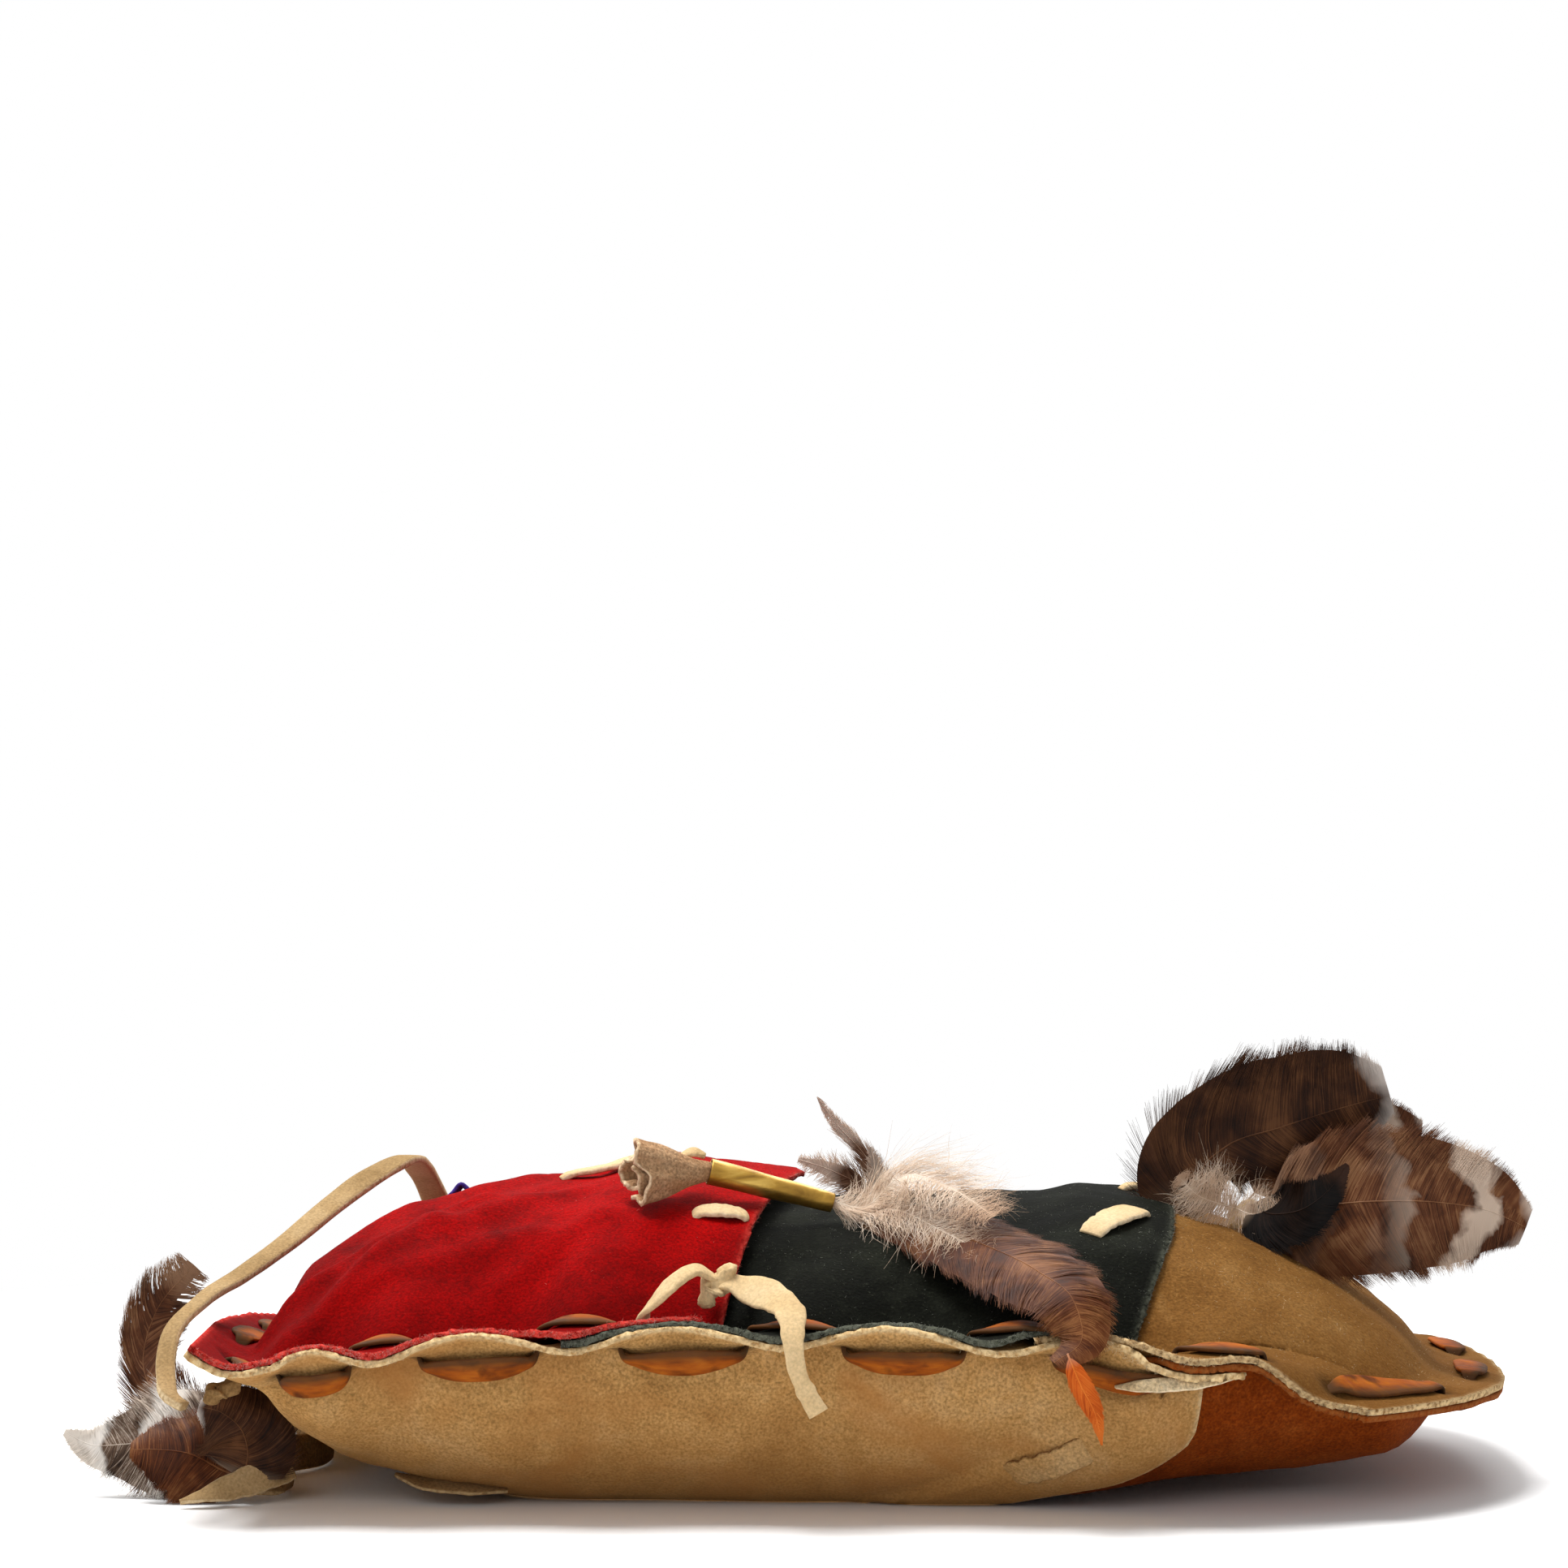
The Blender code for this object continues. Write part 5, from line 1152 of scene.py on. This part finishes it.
add_feather("near_feather_brown", [
    feather(held(NEAR_END, NEAR_AXIS, (0, 0.5, -0.7),
                 [(20, -11, -3), (34, -28, -7), (47, -44, -12), (55, -55, -18), (56, -62, -27),
                  (50, -65, -31)]),
            (1, 4, 9, 11, 12, 13, 12, 8, 2), (0.1, -0.8, 1), 52, 1100, 0.24, 0.2, 0.04, 12, 0.2, split=0.6)],
    brown)
add_feather("near_down", [
    feather(held(NEAR_END, NEAR_AXIS, (0, -0.6, 0.8), [(16, -1, 6), (27, -13, 5), (38, -27, -1)]),
            (2, 7, 10, 10, 5), (0, -0.7, 1), 51, 560, 0.3, 0.1, 0.3, 60, 0.13, quill=0.4, curl=0.1, **LOOSE),
    feather(held(NEAR_END, NEAR_AXIS, (0, -0.9, -0.4), [(14, -8, -1), (26, -22, -5), (37, -33, -10)]),
            (2, 6, 7, 7, 3), (0, -0.8, 1), 66, 340, 0.3, 0.1, 0.35, 40, 0.12, quill=0.3, curl=0.12, **LOOSE)],
    pale)
add_feather("near_feather_orange", [
    feather(from_point(NEAR_END, [(53, -64.8, -28.9), (56, -68, -36), (59, -70, -42), (60.5, -70, -49)]),
            (0.8, 2.4, 2.6, 1.6, 0.2), (0, -1, 0), 53, 160, 0.4, 0.1, 0.04, 5)],
    orange)
add_feather("far_feather_low", [
    feather(held(FAR_END, FAR_AXIS, (0, 1.1, 0), [(8, 2.5, 7), (0, 3.5, 12), (-9, 3.5, 15)]),
            (0.6, 0.6, 3, 5, 4, 1), (0, -1, 0), 54, 240, 0.35, 0.1, 0.22, 9, 0.22, vane=0.5, split=0.8)],
    soft_brown)
add_feather("far_feather_tall", [
    feather(held(FAR_END, FAR_AXIS, (0, 0, 0), [(14, -0.4, 5), (9, 0.5, 16), (1, 1, 25), (-4, 1, 32)]),
            (0.6, 0.6, 1.6, 3.2, 2.4, 1.6, 0.3), (0, -1, 0), 55, 260, 0.4, 0.1, 0.18, 8, 0.22, vane=0.5,
            split=0.9)],
    soft_brown)
add_feather("far_feather_short", [
    feather(held(FAR_END, FAR_AXIS, (0, -1.1, 0), [(13, -2.2, 3), (12, -4, 12), (10, -5, 19)]),
            (0.6, 0.8, 3.2, 3.4, 0.6), (0, -1, 0), 56, 220, 0.4, 0.1, 0.2, 8, 0.22, vane=0.5, split=0.8)],
    soft_brown)
add_feather("bottom_feather_dark", [
    feather(from_point(BOTTOM_AT, [(-2.4, -3.6, 1.6), (-8, -4, 5), (-9.5, -3, 11), (-4, -2, 16.5),
                                   (10, -2, 21.5), (24, -2, 26), (37, -2, 29.5)]),
            (11, 17, 19, 19, 19, 19, 18, 17, 14, 8), (0, -1, 0), 57, 1500, 0.3, 0.12, 0.04, 18, 0.2,
            split=0.6, slim=0.62)],
    dark_brown)
add_feather("bottom_feather_down", [
    feather(from_point(BOTTOM_AT, [(-1.4, -3.6, 1.6), (-6, -6, 3), (-11, -7, 5), (-16, -7, 10)]),
            (5, 8, 8, 6, 1), (0, -1, 0), 67, 300, 0.2, 0.1, 0.3, 30, 0.12, 0, 0.3, curl=0.1, **LOOSE),
    feather(from_point(BOTTOM_AT, [(-1.4, -3.6, 1.6), (2, -8, 0.5), (7, -12, 1.6), (11, -14, 4)]),
            (3, 6, 6, 4, 1), (0, -1, 0), 68, 180, 0.2, 0.1, 0.3, 20, 0.12, 0, 0.3, curl=0.1, **LOOSE)],
    pale, ["bottom_feather_dark"])
add_feather("bottom_feather_grey", [
    feather(from_point(BOTTOM_AT, [(2.3, 2.7, 3.1), (12, 6, 12), (26, 7, 17), (38, 7, 19), (46, 7, 18)]),
            (4, 9, 11, 12, 11, 9, 5), (0, -1, 0.2), 58, 1000, 0.3, 0.12, 0.03, 8, 0.2)],
    barred)
add_feather("bottom_feather_barred", [
    feather(from_point(BOTTOM_AT, [(3.5, -3.35, 0.7), (16, -16, 3), (30, -24, 5), (46, -27, 5),
                                   (58, -27, 3), (67, -27, -1)]),
            (7, 14, 18, 19, 19, 18, 16, 12, 5), (0, -1, 0.25), 59, 1500, 0.28, 0.12, 0.03, 14, 0.2,
            split=0.55)],
    barred)
add_feather("bottom_feather_black", [
    feather(from_point(BOTTOM_AT, [(1.7, -3.6, 2.7), (7, -14, 1), (14, -20, 3), (20, -22, 8), (24, -24, 14)]),
            (3, 8, 9, 7, 4, 0.6), (0, -1, 0.25), 60, 420, 0.3, 0.12, 0.05, 6)],
    black)
tail_barred = add_feather("tail_feather_barred", [
    feather(from_point(TAIL_AT, [(0.6, 3, 3.0), (-6, 8, 6), (-18, 10, 10), (-29, 10, 9), (-37, 10, 9),
                                 (-43, 10, 12)]),
            (6, 13, 16, 16, 14, 9, 5, 0.8), (0, -1, 0.5), 61, 900, 0.3, 0.25, 0.09, 14, 0.22, split=0.9)],
    black_white)
tail_brown = add_feather("tail_feather_brown", [
    feather(from_point(TAIL_AT, [(1, 0, 2), (-4, 1, 4), (-12, 1, 8), (-20, 1, 9), (-26, 1, 9)]),
            (4, 9, 12, 12, 10, 7, 2), (0, -1, 0.6), 62, 900, 0.28, 0.25, 0.04, 9, 0.2)],
    brown)
tail_dark = add_feather("tail_feather_dark", [
    feather(from_point(TAIL_AT, [(1, -3, 1.6), (2.5, -4, 9), (1, -6, 15), (-4, -6, 19), (-9, -5, 20)]),
            (5, 10, 12, 12, 10, 7, 2), (0, -1, 0.3), 63, 900, 0.28, 0.25, 0.05, 9, 0.2)],
    dark_brown)
tail_standing = add_feather("tail_feather_standing", [
    feather(from_point(TAIL_AT, [(1.5, 3.5, 4.6), (-8, 18, 8), (-22, 36, 14), (-29, 46, 24), (-26, 50, 37),
                                 (-17, 50, 48)]),
            (1, 6, 12, 12, 9, 7, 8, 5), (0, -1, 0.1), 64, 700, 0.5, 0.15, 0.05, 8, 0.25, split=0.99,
            vane=0.35)],
    streaked)
tail_tip = extra_band("strap_tail_tip",
                      [(-138, -64, 9), (-144, -69, 7), (-151, -72, 4.8), (-157, -74, 3.2), (-163, -75, 1.6)],
                      [(0.1, 0.45, 1), (0.15, 0.45, 1), (0.15, 0.5, 1), (0.1, 0.8, 0.6), (0.1, 1, 0.4)],
                      [7.5, 8, 6.5, 4.5, 0.8], 1.4, strap_suede, 87)


# PURPLE PIECE
# A small scrap of purple suede is stitched flat behind the crest, and only its raised middle
# shows over it.
tab_points = [(s - 103, 23, 63.6 + h) for s, h in ((-5, 0), (-2, 2.4), (0, 4.6), (2, 3), (5, 1))]
purple_suede = suede("purple suede", (52, 36, 110), (86, 66, 156), (120, 100, 184), (140, 124, 190), 1.0)
tab = band(tab_points, [(0.083, 0.972, -0.218)] * 5, [5, 6, 5, 6, 5], 1.2, 30, 71)
piece("purple_tab", tab, purple_suede, ["purple_tab"])


# FLOOR, BACKDROP AND LIGHT
# A white studio floor that fades into a white backdrop. The main soft box hangs above and a little
# to the left, a faint one stands in front and one behind, and even light comes from all round, so
# that the bag has one soft shadow.
def white_floor():
    """White paint near the bag, and plain white light far from it, so that no horizon shows."""
    made, tree, shader, at = fresh("white floor")
    shader.inputs["Base Color"].default_value = (0.92, 0.92, 0.92, 1)
    shader.inputs["Roughness"].default_value = 0.8
    shader.inputs["Specular IOR Level"].default_value = 0.1
    distance = node(tree, "ShaderNodeVectorMath", {0: at}, operation="LENGTH").outputs["Value"]
    glow = node(tree, "ShaderNodeEmission", {"Color": (1, 1, 1, 1), "Strength": 1.0})
    share = scaled(tree, distance, 0.26, 0.5)
    both = node(tree, "ShaderNodeMixShader", {0: share, 1: shader.outputs[0], 2: glow.outputs[0]})
    tree.links.new(both.outputs[0], tree.nodes["Material Output"].inputs["Surface"])
    return made


floor_mesh = bpy.data.meshes.new("floor")
floor_mesh.from_pydata([(-4, -4, 0), (4, -4, 0), (4, 8, 0), (-4, 8, 0)], [], [(0, 1, 2, 3)])
floor_mesh.materials.append(white_floor())
floor = bpy.data.objects.new("floor", floor_mesh)
bpy.context.scene.collection.objects.link(floor)

world = bpy.data.worlds.new("studio")
world.use_nodes = True
bpy.context.scene.world = world
sky = world.node_tree
background = sky.nodes["Background"]
background.inputs["Color"].default_value = (1, 1, 1, 1)
path_kind = node(sky, "ShaderNodeLightPath")
seen = maths(sky, "MAXIMUM", path_kind.outputs["Is Camera Ray"], path_kind.outputs["Is Glossy Ray"])
sky.links.new(scaled(sky, seen, 0.0, 1.0, 0.46, 1.0), background.inputs["Strength"])


def soft_box(name, place, target, size, power):
    """A square area light that looks at a point.

    It is tipped from straight down by the angle whose tangent is the level distance over
    the drop, and then turned about the vertical towards the point.
    """
    lamp = bpy.data.lights.new(name, "AREA")
    lamp.size = size
    lamp.energy = power
    made = bpy.data.objects.new(name, lamp)
    made.location = place
    direction = np.array(target) - np.array(place)
    made.rotation_euler = (math.atan2(math.hypot(direction[0], direction[1]), -direction[2]), 0,
                           math.atan2(direction[0], -direction[1]) + math.pi)
    bpy.context.scene.collection.objects.link(made)


soft_box("key", (-0.35, 0.05, 1.25), (0, 0, 0.04), 0.6, 21)
soft_box("front", (-0.4, -1.5, 0.8), (0, 0, 0.03), 0.7, 3)
soft_box("back", (0.1, 0.9, 1.0), (0, 0, 0.05), 0.8, 9)
